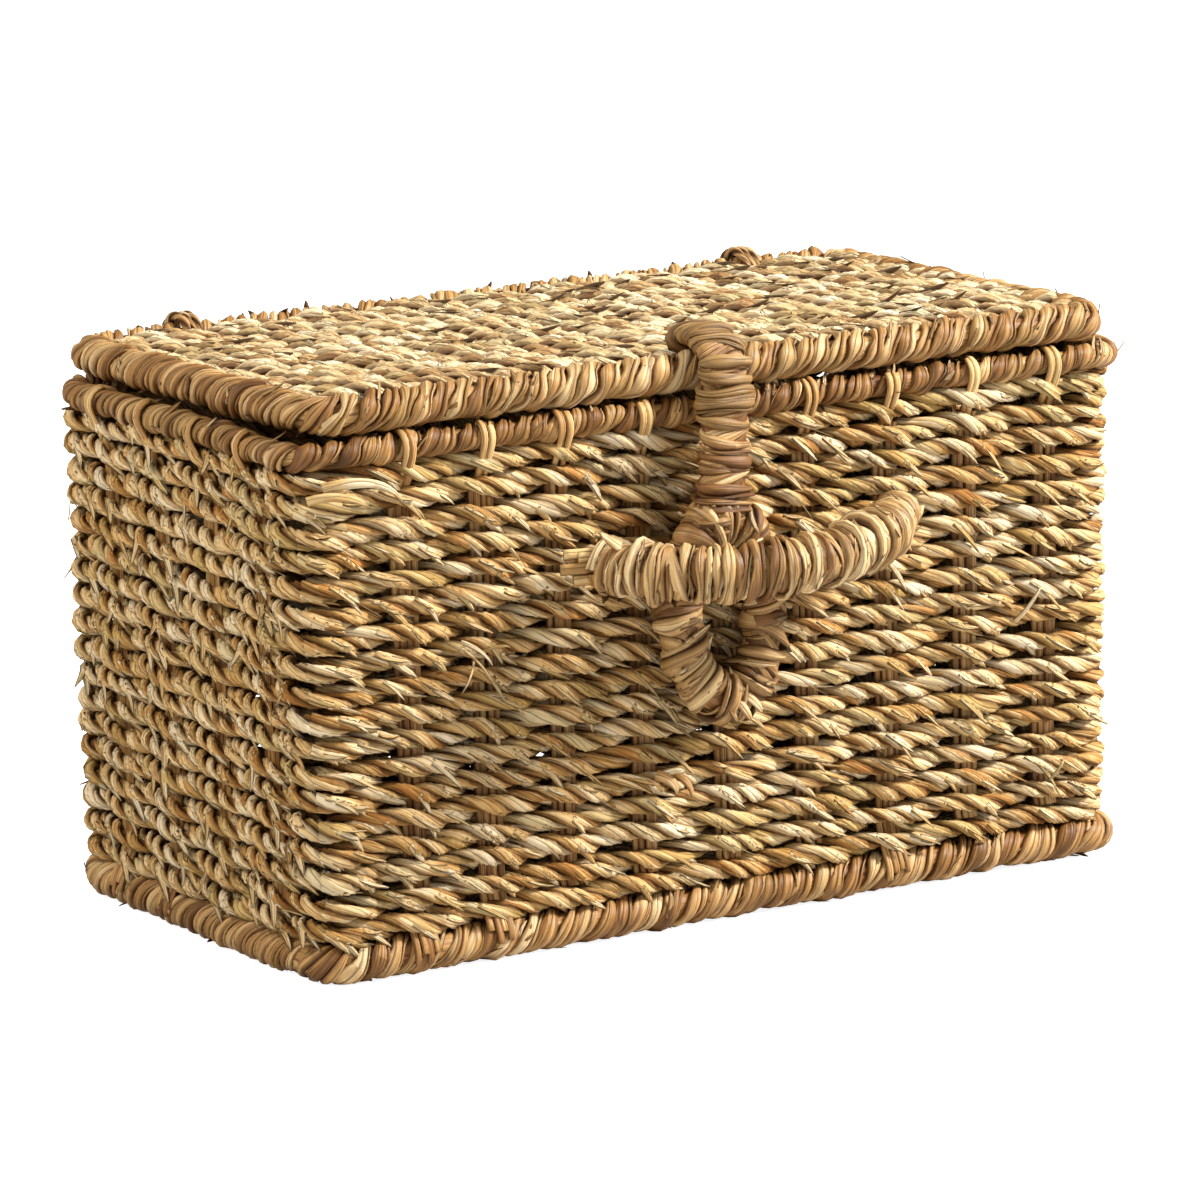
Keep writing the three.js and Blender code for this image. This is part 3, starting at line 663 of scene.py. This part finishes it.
def wall_stakes(quarter):
    """Each stake is four flat reeds side by side, upright in the middle of the wall. The middle two come
    out over the top rim, but for the back, where the lid turns, and a few go round the base rim."""
    half_across = (HALF_WIDTH, HALF_LENGTH)[quarter % 2]
    stake = stake_places(quarter)
    dice = np.random.default_rng(60 + quarter)
    reeds = len(STAKE_REEDS) * len(stake)
    over = np.tile([False, quarter != 2, quarter != 2, False], len(stake))
    begin = np.where(over, dice.uniform(0.0, 0.03, reeds), 0.13)
    low = np.repeat(np.isin(np.arange(len(stake)), LOW_STAKES), len(STAKE_REEDS))
    end = np.where(low, 1.0 - dice.uniform(0.02, 0.06, reeds), 0.885)
    share = begin[:, None] + (end - begin)[:, None] * np.linspace(0, 1, STAKE_STEPS)
    d, z, length = stake_path(share)
    places = np.linspace(0, length, STAKE_STEPS)
    x = (stake[:, None] + STAKE_REEDS).ravel()[:, None]
    x = x + 0.5 * drift(reeds, places, 45.0, 160 + quarter)
    d = d + 0.35 * drift(reeds, places, 30.0, 170 + quarter)
    d = d + np.tile([0.0, 0.3, 0.5, 0.1], len(stake))[:, None]
    line = fan(x, -half_across - d, z)
    along = unit(slope(line, False))
    flat = np.broadcast_to(RIGHT, line.shape)
    face = np.cross(along, flat)
    cos, sin = section_waves(REED_SIDES, 0.5)
    wide = (1.45 * (1 + 0.18 * drift(reeds, places, 25.0, 180 + quarter)))[..., None, None]
    rings = line[:, :, None] + flat[:, :, None] * wide * sin
    rings = rings + face[:, :, None] * 0.85 * cos
    name = WALLS[quarter]
    tones = tones_of(reeds, places, 64 + quarter, 50.0)
    tones[..., 0] = np.clip(tones[..., 0] + 0.35 * (share < 0.12), 0, 1)
    nodes = [f"{name}_stake_{i + 1}" for i in range(len(stake))]
    rings = settle(quarter_turn(rings, quarter))
    skin(f"{name}_stake_reeds", rings, tones, REED, "case", nodes)


def corner_stakes():
    """A bundle of reeds inside each rounded corner."""
    sides = np.array([(-1, -1), (1, -1), (-1, 1), (1, 1)], float)
    spots = np.array([(-1.3, -1.2), (1.3, -1.1), (0.1, 1.4)])
    plan = (sides * [HALF_LENGTH - CORNER_RADIUS, HALF_WIDTH - CORNER_RADIUS])[:, None] + spots
    x, y = plan.reshape(-1, 2).T
    rings, places = reed_rods(fan(x, y, 12.5), fan(x, y, WALL_TOP), 1.35, 1.1, 70, FRONT)
    tones = tones_of(len(x), places, 71, 50.0)
    nodes = [f"corner_stake_{a}_{b}" for a in ("front", "back") for b in ("left", "right")]
    skin("corner_stake_reeds", settle(rings), tones, REED, "case", nodes)


def woven_sheet(node, body, middle, half_length, bay, depth, up, seed, material):
    """A flat sheet of twined cords along X, on reeds a bay apart, with its courses at even places across
    the width. Its front looks up or down."""
    t = np.linspace(-half_length, half_length, round(2 * half_length / CORD_STEP))
    spread = ((np.arange(SHEET_COURSES) + 0.5) * 2 / SHEET_COURSES - 1) * SHEET_HALF_WIDTH
    out = np.broadcast_to(fan(0, 0, up), (len(t), 3))
    rings, lobe, showing = twined(fan(t, 0, middle), out, fan(0, up, 0), spread, t, t / bay,
                                  t / SHEET_TWIST, depth, seed, SHEET_SNUG, TUCK)
    tones = tones_of(len(rings), t, seed + 12, 16.0, pale=0.03, lobe=lobe)
    skin(f"{node}_cords", rings, tones, material, body, [node])
    if up > 0:
        leaf_ends(f"{node}_leaf_blades", rings, showing, 420, seed + 15, body, material, lift=(0.0, 0.05))
        leaf_ends(f"{node}_leaf_tips", rings, showing, 50, seed + 17, body, material,
                  long=(4.0, 8.0), wide=(0.8, 1.6), lift=(0.03, 0.15))


def sheet_reeds(name, body, nodes, bay, half_width, middle, seed):
    """Pairs of flat reeds across a sheet, a bay apart, which its cords are woven on."""
    pairs = (np.arange(SHEET_REEDS) - (SHEET_REEDS - 1) / 2) * bay
    x = (pairs[:, None] + np.array([-1.5, 1.5])).ravel()
    low, high = fan(x, -half_width, middle), fan(x, half_width, middle)
    rings, places = reed_rods(low, high, 1.5, 1.1, seed, UP)
    skin(name, rings, tones_of(len(x), places, seed + 5, 50.0), REED, body, nodes)


def plan_loop(half_length, half_width, inset, share):
    """A round-cornered rectangle walked once: points, directions outwards and the length round."""
    radius = CORNER_RADIUS - inset
    sides = np.array([half_length, half_width] * 2) - CORNER_RADIUS
    arc = radius * np.pi / 2
    total = 2 * sides.sum() + 4 * arc
    s = share * total
    points, outs = np.zeros((len(s), 3)), np.zeros((len(s), 3))
    begin = 0.0
    for quarter in range(4):
        straight, across = sides[quarter], sides[(quarter + 1) % 2]
        local = s - begin
        mine = (local >= 0) & (local <= 2 * straight + arc)
        bend = np.clip(local - 2 * straight, 0, arc) / radius
        out = fan(np.sin(bend), -np.cos(bend), 0)
        point = fan(np.clip(local, 0, 2 * straight) - straight, -across, 0) + out * radius
        points[mine] = quarter_turn(point, quarter)[mine]
        outs[mine] = quarter_turn(out, quarter)[mine]
        begin += 2 * straight + arc
    return points, outs, total


STRIP_SIDES = 8


def wound(spine, first, second, half_a, half_b, turns, starts, seed, thick, crown,
          loop=False, ragged=1.0, hand=1, cover=0.47, plumps=2, shade=0.0):
    """Leaf strips wound on a rope: each goes round the rope's oval at a steady rate while it moves along,
    and strays from its path. A strip is as wide as the turns leave room for, swells and narrows a few
    times in a turn, and is split in two round blades by a line that wanders across it. Gives the rings
    and the tones, whose lightness shade lowers: partly a darker tone of the leaf, partly painted shade
    where strips lie in shadow or show between other strips."""
    n = len(spine)
    first, second = (np.broadcast_to(v, spine.shape) for v in (first, second))
    share = (np.arange(n) / n) if loop else np.linspace(0, 1, n)
    path_turns = turns * share
    round_trip = turns if loop else None

    def roam(rows, step, number):
        return drift(rows, path_turns, step, seed + number, round_trip)

    def stray(amount, step, number, rows=starts):
        return ragged * amount * roam(rows, step, number)

    begin = np.arange(starts)[:, None] / starts
    theta = hand * (2 * np.pi * (path_turns + begin) + stray(0.16, 1.0, 0))
    sin, cos = np.sin(theta)[..., None], np.cos(theta)[..., None]
    a, b = (np.broadcast_to(half, n)[:, None] for half in (half_a, half_b))
    normal = unit(b * sin * first + a * cos * second)
    step_on, turn_first, turn_second = (slope(v[None], loop)[0] for v in (spine, first, second))
    ahead = step_on + a * sin * turn_first + b * cos * turn_second
    pitch = np.linalg.norm(ahead, axis=-1) * n / turns / starts
    aside = stray(0.16, 0.9, 1) + stray(0.14, 0.4, 12)
    path = spine + a * sin * first + b * cos * second + unit(ahead) * (pitch * aside)[..., None]
    side = unit(np.cross(normal, unit(slope(path, loop))))
    side = np.where((side * ahead).sum(-1, keepdims=True) < 0, -side, side)
    plump = np.cos(plumps * theta + 2.4 * roam(starts, 1.0, 13))
    wide = cover * pitch * (side * unit(ahead)).sum(-1) * (1 + stray(0.14, 0.8, 2) + 0.30 * plump)
    raised = stray(0.28, 0.7, 11)
    cut = 0.70 + 0.24 * roam(starts, 0.7, 3)

    path, normal, side, wide, raised, plump, cut = (
        np.repeat(v, 2, 0) for v in (path, normal, side, wide, raised, plump, cut))
    strands = 2 * starts
    second_blade = np.tile([0.0, 1.0], starts)[:, None]
    part = second_blade + (1 - 2 * second_blade) * cut
    offset = wide * (second_blade - 1 + cut)
    lift = crown * (0.7 + 0.3 * plump) + thick * (0.1 + raised + stray(0.22, 0.4, 4, strands))
    path = path + side * offset[..., None] + normal * lift[..., None]
    turn = angles_round(STRIP_SIDES)
    fold = folds(strands, STRIP_SIDES, path_turns, 0.35, seed + 14, round_trip)
    x = np.sin(turn) * (1.12 * wide * part)[..., None] * (1 + 0.16 * fold)
    y = np.cos(turn) * (thick * (0.55 + 0.9 * part))[..., None] * (1 + 0.20 * fold)
    lean = (stray(0.30, 0.5, 7, strands) + 0.35 * (1 - 2 * second_blade))[..., None]
    x, y = x * np.cos(lean) - y * np.sin(lean), x * np.sin(lean) + y * np.cos(lean)
    rings = path[:, :, None] + side[:, :, None] * x[..., None] + normal[:, :, None] * y[..., None]
    slow = np.repeat(roam(starts, 4.0, 9), 2, 0)
    light = 0.44 + 0.36 * roam(strands, 0.6, 8) + 0.16 * slow
    green = 0.5 + 0.5 * np.roll(slow, 7, 1)
    own = np.random.default_rng(seed + 10).uniform(0, 1, (strands, 1)) + np.zeros((strands, n))
    return rings, np.clip(np.stack([light, green, own], -1), 0, 1) - [shade, 0, 0]


def rope(name, spine, first, second, half_a, half_b, seed, body, nodes=(), loop=False):
    """A plain dark rope core: an oval carried along a line."""
    first, second = (np.broadcast_to(v, spine.shape) for v in (first, second))
    cos, sin = section_waves(12)
    a, b = (np.broadcast_to(half, len(spine))[:, None, None] for half in (half_a, half_b))
    rings = spine[:, None] + first[:, None] * a * sin + second[:, None] * b * cos
    tones = tones_of(1, np.arange(len(spine)) * 2.0, seed, 20.0, pale=-0.2)
    skin(name, rings[None], tones, REED, body, nodes, loop=loop)


def rim(name, body, half_length, size, spacing, starts, seed, thick, crown, plumps, shade):
    """A rod round the box wound with strips, all the way to where the winding meets its own start. The
    strips are darkened by shade: a darker tone, and on the top rim a painted shadow of the lid border
    above it."""
    diameter, high = size
    _, _, total = plan_loop(half_length, HALF_WIDTH, diameter / 2, np.zeros(1))
    turns = round(total / spacing / starts)
    steps = turns * 18
    points, outs, _ = plan_loop(half_length, HALF_WIDTH, diameter / 2, np.arange(steps) / steps)
    points = points + high * UP
    core = diameter / 2 - crown - 1.15 * thick
    rings, tones = wound(points, UP, outs, core, core, turns, starts, seed, thick, crown,
                         loop=True, plumps=plumps, shade=shade)
    if body == "case":
        rings, points = settle(rings), settle(points)
    skin(f"{name}_strips", rings, tones, LEAF, body, [name], loop=True, rows=math.ceil(turns / 9))
    leaf_ends(f"{name}_leaf_blades", rings, np.ones(rings.shape[:2]), round(total / 7), seed + 21,
              body, LEAF, long=(5.0, 10.0), wide=(0.7, 1.5), lift=(0.0, 0.14))
    girth = core + 0.25 * thick
    rope(f"{name}_rod", points[::4], UP, outs[::4], girth, girth, seed + 20, body, loop=True)


def lower_strips(name, spine, first, second, half_a, half_b, turns, seed, shade, body, rows):
    """The lower layer on a rope: thin strips wound the other way, a little further in, darkened by shade
    as painted shade where they show between the upper strips.
    """
    inset = 0.6
    rings, tones = wound(spine, first, second, half_a - inset, half_b - inset, turns, 1,
                         seed, 0.9, 0.2, hand=-1, shade=shade)
    skin(f"{name}_lower_strips", rings, tones, CLASP_LEAF, body, rows=rows)


# The upper layer of strips on the handle and the clasp
UPPER_COVER = 0.41
UPPER_CROWN = 0.4


def bow(angle):
    """The bow handle's middle line: a round arc, one end higher, drooping at the crown, and drawn out to
    the right where it meets the wall; and its outward direction."""
    crown = (np.cos(angle) - math.cos(BOW_HALF_ANGLE)) / (1 - math.cos(BOW_HALF_ANGLE))
    drawn = np.clip(angle / BOW_HALF_ANGLE - 0.55, 0, None) ** 2
    rise = BOW_RISE / 2 * np.sin(angle) / math.sin(BOW_HALF_ANGLE)
    line = fan(BOW_CENTRE[0] + BOW_RADIUS * np.sin(angle) + 24.0 * drawn,
               BOW_CENTRE[1] - BOW_RADIUS * np.cos(angle),
               BOW_CENTRE[2] + rise - BOW_DROOP * crown - 8.0 * drawn)
    return line, fan(np.sin(angle), -np.cos(angle), 0)


# The reeds of the handle's core: places in its section, and how far they run on to the left
CORE_REEDS = np.array([(4.6, 4.4), (5.6, 0.6), (4.4, -3.8), (1.2, 5.4), (0.6, 2.0), (0.9, -2.4),
                       (-2.8, 4.4), (-3.4, 0.6), (-2.8, -4.0)])
CORE_ENDS = np.array([5.0, 11.0, 7.0, 12.0, 4.0, 9.0, 6.0, 13.0, 8.0])


def bow_handle():
    """The bow: a reed core, two layers of strips wound over it, and the cut ends of the core's reeds,
    which run on to the left."""
    turns = 30
    left_end, right_end = -1.0, 1.07
    angle = np.linspace(left_end, right_end, turns * 16) * BOW_HALF_ANGLE
    line, outs = bow(angle)
    share = np.linspace(0, 1, len(angle))
    taper = 3.3 * np.clip((share - 0.66) / 0.34, 0, 1) ** 1.5
    size = 8.2 - taper - 0.5 * np.clip((0.05 - share) / 0.05, 0, 1)
    # Painted shade: the lower strips are darkened where they show between the upper ones; the upper
    # strips are a little darker
    lower_strips("handle", line, UP, outs, size, size, 17, 205, 0.18, "case", 7)
    rings, tones = wound(line, UP, outs, size, size, turns, 1, 200, 2.0, UPPER_CROWN,
                         ragged=2.3, cover=UPPER_COVER, plumps=3, shade=0.04)
    skin("handle_wrap_strips", rings, tones, CLASP_LEAF, "case", ["handle_wrap"], rows=7)
    leaf_ends("handle_leaf_blades", rings, np.ones(rings.shape[:2]), 60, 215, "case", CLASP_LEAF,
              long=(6.0, 12.0), wide=(0.8, 1.8))
    bent, straight = 60, 6
    line, outs = bow(np.linspace(0.9, left_end, bent) * BOW_HALF_ANGLE)
    spread = np.linspace(0.5, 1, bent)[:, None]
    line = line + outs * CORE_REEDS[:, :1, None] * spread + UP * CORE_REEDS[:, 1:, None] * spread
    beyond = CORE_ENDS[:, None] * np.linspace(0.1, 1, straight)
    run_on = line[:, -1:] + fan(-1.0, 0.3, 0) * beyond[..., None]
    line = np.concatenate([line, run_on], 1)
    outs = np.concatenate([outs, np.broadcast_to(fan(-0.3, -1.0, 0), (straight, 3))])
    cos, sin = section_waves(REED_SIDES, 0.5)
    section = outs[:, None] * 0.9 * cos + UP * 2.2 * sin
    tones = tones_of(len(CORE_REEDS), np.arange(bent + straight) * 2.6, 220, 40.0, pale=0.35)
    skin("handle_core_reeds", line[:, :, None] + section, tones, REED, "case", ["handle_core"])


def drop(place):
    """The ring's middle line: an oval that narrows downwards, with its tip to the right; and its outward
    direction."""
    sin, cos = np.sin(place), np.cos(place)
    x = RING_HALF[0] * sin * (1 + 0.03 * cos) + 3.0 * np.clip(-cos, 0, 1) ** 2
    line = np.array(RING_CENTRE) + fan(x, 0, RING_HALF[1] * cos)
    return line, unit(fan(sin / RING_HALF[0], 0, cos / RING_HALF[1]))


def clasp_stem():
    """Two layers of strips over the arch and down the stem, and the rope under them."""
    rod = np.array(CLASP_ROD)
    height = rod[2] - (RING_CENTRE[2] + RING_HALF[1])
    foot, stem_end = 2.50, 0.98
    arch_length = foot * CLASP_REACH
    total = arch_length + height * stem_end
    turns = 15
    s = np.linspace(0, total, turns * 20)
    angle = np.clip(foot - s / CLASP_REACH, 0, foot)
    down = np.clip(s - arch_length, 0, None)
    share = down / height
    x = rod[0] + (RING_CENTRE[0] - rod[0]) * share
    y = rod[1] - CLASP_REACH * np.cos(angle) + (RING_CENTRE[1] - rod[1] + CLASP_REACH) * share
    line = fan(x, y, rod[2] + CLASP_REACH * np.sin(angle) - down)
    outs = fan(0, -np.cos(angle), np.sin(angle))
    fuller = np.clip((s - 0.55 * arch_length) / 25.0, 0, 1)
    line = line + outs * (1.4 * fuller)[:, None]
    flare = np.clip((s / total - 0.86) / 0.14, 0, 1)
    half_a = 8.8 + 0.9 * fuller + 1.6 * flare ** 2
    half_b = 2.4 + 1.6 * fuller + 0.6 * flare ** 2
    # Painted shade: the lower strips are darkened where they show between the upper ones, and the upper
    # strips much more, as the stem's shaded side
    lower_strips("clasp_stem", line, RIGHT, outs, half_a, half_b, 11, 230, 0.25, BENDING, 5)
    rings, tones = wound(line, RIGHT, outs, half_a, half_b, turns, 1, 240, 1.8, UPPER_CROWN,
                         ragged=2.1, cover=UPPER_COVER, shade=0.56)
    skin("clasp_stem_strips", rings, tones, CLASP_LEAF, BENDING,
         ["clasp_root_wrap", "clasp_stem_wrap"], rows=5)
    line, outs, half_a, half_b = (v[:-30] for v in (line, outs, half_a, half_b))
    rope("clasp_stem_rope", line, RIGHT, outs, half_a, half_b, 245, BENDING, ["clasp_root"])


def clasp_ring():
    """Strips wound round the ring that hangs behind the handle, and its rope."""
    opening = 0.02
    turns = 19
    line, outs = drop(np.linspace(opening, 2 * np.pi - opening, turns * 20))
    # Painted shade: the lower strips are darkened where they show between the upper ones, and the upper
    # strips as a painted shadow on the ring
    lower_strips("clasp_ring", line, FRONT, outs, *RING_ROPE, 13, 250, 0.22, "clasp", 6)
    rings, tones = wound(line, FRONT, outs, *RING_ROPE, turns, 1, 260, 1.9, UPPER_CROWN,
                         ragged=2.1, cover=UPPER_COVER, shade=0.18)
    leaf_ends("clasp_ring_leaf_blades", rings, np.ones(rings.shape[:2]), 60, 275, "clasp",
              CLASP_LEAF, long=(6.0, 12.0), wide=(0.8, 1.9))
    skin("clasp_ring_strips", rings, tones, CLASP_LEAF, "clasp", ["clasp_ring_wrap"], rows=6)
    line, outs = drop(np.linspace(0, 2 * np.pi, 80, endpoint=False))
    rope("clasp_ring_rope", line, FRONT, outs, *RING_ROPE, 270, "clasp", ["clasp_core"], loop=True)


def hinge_ties():
    """Each tie is a thin cord taken three times round the lid's rear rod and the rim below it: a belt
    round two circles, walked at a steady pace while it moves across."""
    upper_y, upper_z, upper_radius = HALF_WIDTH - LID_BORDER[0] / 2, LID_BORDER[1], 7.8
    lower_y, lower_z, lower_radius = HALF_WIDTH - TOP_RIM[0] / 2, TOP_RIM[1], 5.7
    cord_radius, cord_twist, cord_size = 2.05, 16.0, 0.46
    rounds, steps, width = 3.0, 180, 7.6
    span = math.hypot(upper_y - lower_y, upper_z - lower_z)
    lean = math.atan2(upper_y - lower_y, upper_z - lower_z)
    opened = math.asin((upper_radius - lower_radius) / span)
    run = span * math.cos(opened)
    upper_arc = (np.pi + 2 * opened) * (upper_radius + cord_radius)
    lower_arc = (np.pi - 2 * opened) * (lower_radius + cord_radius)
    marks = np.concatenate([[0], np.cumsum([upper_arc, run, lower_arc, run])])
    share = np.linspace(0, rounds, steps)
    s = (share % 1.0) * marks[-1]
    front, back = -lean - opened, np.pi - lean + opened
    turn = np.interp(s, marks, [front, back, back, 2 * np.pi + front, 2 * np.pi + front])
    low = np.interp(s, marks, [0, 0, 1, 1, 0])
    y = upper_y + (lower_y - upper_y) * low
    z = upper_z + (lower_z - upper_z) * low
    radius = upper_radius + (lower_radius - upper_radius) * low + cord_radius
    outs = fan(0, np.cos(turn), np.sin(turn))
    places = share * marks[-1]
    for side, name in ((-1, "left"), (1, "right")):
        line = fan(side * TIE_PLACE + (share / rounds - 0.5) * width, y, z) + outs * radius[:, None]
        rings, _, _ = cords(line[None], outs[None], RIGHT, places, places / cord_twist, 300 + side,
                            tall=cord_size, deep=cord_size)
        tones = tones_of(2, places, 305 + side, 30.0)
        skin(f"hinge_tie_cord_{name}", rings, tones, LEAF, "case", [f"hinge_tie_{name}"], rows=2)


# Loose bits: finish, body, start, bend, end and half the width
LOOSE_BITS = (
    (CORD, "case", (-118, -99.5, 122), (-113, -107, 120), (-106, -101, 112), 0.9),
    (CORD, "case", (-117, -99.5, 119), (-112, -104, 114), (-109, -106, 107), 0.6),
    (CORD, "case", (-110, -99.5, 117), (-104, -106, 121), (-99, -102, 118), 0.7),
    (CORD, "case", (-113, -99.5, 114), (-118, -107, 110), (-121, -104, 104), 0.5),
    (LEAF, "case", (-36, -98.5, 61), (-31, -106, 60), (-30, -103, 54), 2.4),
    (LEAF, "case", (-28, -98.5, 60), (-25, -106, 58), (-24, -104, 52), 1.8),
    (LID_CORD_PAINTED_LIGHT, "case", (-33, -99, 61.5), (-30.5, -106, 64), (-27, -103.5, 62), 1.5),
    (CORD, "case", (125, -99, 98), (129, -104, 104), (132.5, -106, 112), 1.3),
    (CORD, "case", (141, -98.5, 34), (142, -109, 44), (147, -98.5, 41), 0.7),
    (REED, "lid", (-70.5, -22, 213), (-67, -17, 219), (-64.5, -12, 213.5), 2.2),
    (CORD, "case", (-172, -98, 184), (-160, -106, 188), (-146, -101, 182), 2.4),
    (CORD, "case", (-178, -97, 180), (-167, -105, 184), (-155, -101, 176), 2.0),
    (CORD, "case", (-160, -99, 185), (-150, -106, 186), (-143, -104, 177), 1.8),
    (CLASP_LEAF, "case", (-60, -116, 152), (-65, -118, 155), (-67, -114, 158), 2.4),
    (CLASP_LEAF, "clasp", (-10, -113, 89), (-7, -117, 84), (-4, -114, 80), 2.2),
    (CLASP_LEAF, "clasp", (-13, -112, 89), (-13, -116, 84), (-10, -114, 80.5), 1.8),
    (CLASP_LEAF, "clasp", (-6, -113, 90), (-1, -116, 86), (2, -112, 82), 1.9),
)


def loose_bits():
    """Single leaf ends and fibres that stand off the box: each is a flat strip, pointed at its end, on an
    arc through a start, a bend and an end."""
    s = np.linspace(0, 1, 9)[:, None]
    cos, sin = section_waves(6)
    for number, (material, body, start, bend, end, half_wide) in enumerate(LOOSE_BITS):
        start, bend, end = (np.array(point) for point in (start, bend, end))
        line = start * (1 - s) ** 2 + bend * 2 * s * (1 - s) + end * s ** 2
        along = unit(slope(line[None], False)[0])
        outward = fan(0, 0.2, 1.0) if body == "lid" else fan(0.2, -1.0, 0.1)
        side = unit(np.cross(along, outward))
        face = np.cross(side, along)
        wide = half_wide * np.sqrt(1 - 0.96 * s ** 2)[..., None]
        section = face[:, None] * 0.35 * cos + side[:, None] * wide * sin
        tones = tones_of(1, s[:, 0] * 12.0, 500 + number, 6.0, pale=0.15)
        rings = (line[:, None] + section)[None]
        skin(f"loose_bit_{number + 1}", rings, tones, material, body)


def stage():
    """A wide pale floor that looks white to the camera and keeps the box's soft shadow."""
    size = 7.0
    mesh = bpy.data.meshes.new("floor")
    corners = [(-size, -size, 0), (size, -size, 0), (size, size, 0), (-size, size, 0)]
    mesh.from_pydata(corners, [], [(0, 1, 2, 3)])
    material = bpy.data.materials.new("pale_floor")
    start = cleared(material)
    seen = start.node("ShaderNodeLightPath")
    matt = start.node("ShaderNodeBsdfDiffuse", {}, {"Color": (0.6, 0.6, 0.6, 1)})
    white = start.node("ShaderNodeEmission", {}, {"Color": (0.87, 0.87, 0.87, 1), "Strength": 1.0})
    bright = start.node("ShaderNodeAddShader", {}, {0: matt, 1: white})
    mixed = start.node("ShaderNodeMixShader", {}, {0: seen, 1: matt, 2: bright})
    start.node("ShaderNodeOutputMaterial", {}, {"Surface": mixed})
    mesh.materials.append(material)
    placed("floor", mesh)


def direction(azimuth, elevation):
    """The direction towards an azimuth, round from the front, and an elevation, in degrees."""
    a, e = math.radians(azimuth), math.radians(elevation)
    return np.array([math.sin(a) * math.cos(e), -math.cos(a) * math.cos(e), math.sin(e)])


def aim(place, target, roll=0.0):
    """A matrix at a place whose -Z looks at the target, turned by roll about its view."""
    back = unit(place - target)
    right = unit(np.cross([0.0, 0.0, 1.0], back))
    up = np.cross(back, right)
    cos, sin = math.cos(roll), math.sin(roll)
    columns = np.eye(4)
    columns[:3] = np.stack([cos * right + sin * up, cos * up - sin * right, back, place], -1)
    return Matrix(columns.tolist())


def photograph():
    """The camera at the photograph's place: long lens, from the left of the front, a bit above."""
    target = np.array([0.00155, 0.0, 0.1058])
    far = 2.483
    camera = bpy.data.cameras.new("camera")
    camera.sensor_width = 36.0
    camera.lens = 195.0
    camera.clip_end = 30.0
    holder = placed("camera", camera)
    holder.matrix_world = aim(target + far * direction(-31.38, 11.70), target, math.radians(-1.28))
    bpy.context.scene.camera = holder


def surroundings():
    """Even white light from all round, and plain white where the camera looks past the floor."""
    world = bpy.data.worlds.new("studio")
    start = cleared(world)
    path = start.node("ShaderNodeLightPath")
    strength = 0.39 + path * 0.61
    sky = start.node("ShaderNodeBackground", {}, {"Color": (1, 1, 1, 1), "Strength": strength})
    start.node("ShaderNodeOutputWorld", {}, {"Surface": sky})
    bpy.context.scene.world = world
    bpy.context.scene.view_settings.view_transform = "Standard"


def light(name, azimuth, elevation, far, size, power, colour):
    """A square soft box that faces the box from an azimuth and an elevation."""
    target = np.array([0.0, 0.0, 0.1])
    lamp = bpy.data.lights.new(name, "AREA")
    lamp.size = size
    lamp.energy = power
    lamp.color = colour
    placed(name, lamp).matrix_world = aim(target + far * direction(azimuth, elevation), target)


for quarter in range(4):
    woven_wall(quarter)
    wall_stakes(quarter)
corner_stakes()
# The lid panel's cords carry painted light in their paler colour
woven_sheet("lid_panel", "lid", LID_MIDDLE, LID_HALF_LENGTH - 9, LID_BAY, depth=3.2, up=1, seed=90,
            material=LID_CORD_PAINTED_LIGHT)
sheet_reeds("lid_rib_reeds", "lid", [f"lid_rib_{i + 1}" for i in range(SHEET_REEDS)], LID_BAY,
            half_width=82.0, middle=LID_MIDDLE, seed=110)
woven_sheet("base_panel", "case", BASE_MIDDLE, BASE_HALF_LENGTH, BASE_BAY, depth=2.6, up=-1,
            seed=120, material=CORD)
sheet_reeds("base_reeds", "case", (), BASE_BAY, half_width=84.0, middle=BASE_MIDDLE, seed=140)
rim("base_rim", "case", HALF_LENGTH, BASE_RIM, spacing=8.0, starts=3, seed=150,
    thick=1.7, crown=0.6, plumps=2, shade=0.08)
# Painted shadow of the lid border darkens the top rim's strips
rim("top_rim", "case", HALF_LENGTH, TOP_RIM, spacing=7.4, starts=2, seed=160,
    thick=1.5, crown=0.8, plumps=2, shade=0.28)
rim("lid_border", "lid", LID_HALF_LENGTH + 1.5, LID_BORDER, spacing=7.8, starts=3, seed=170,
    thick=1.9, crown=1.0, plumps=3, shade=0.04)
bow_handle()
clasp_stem()
clasp_ring()
hinge_ties()
loose_bits()
stage()
photograph()
surroundings()
light("key_light", 60, 35, far=3.0, size=0.65, power=203, colour=(1.0, 0.97, 0.94))
light("fill_light", -84, 38, far=1.8, size=1.0, power=23, colour=(1.0, 0.95, 0.88))
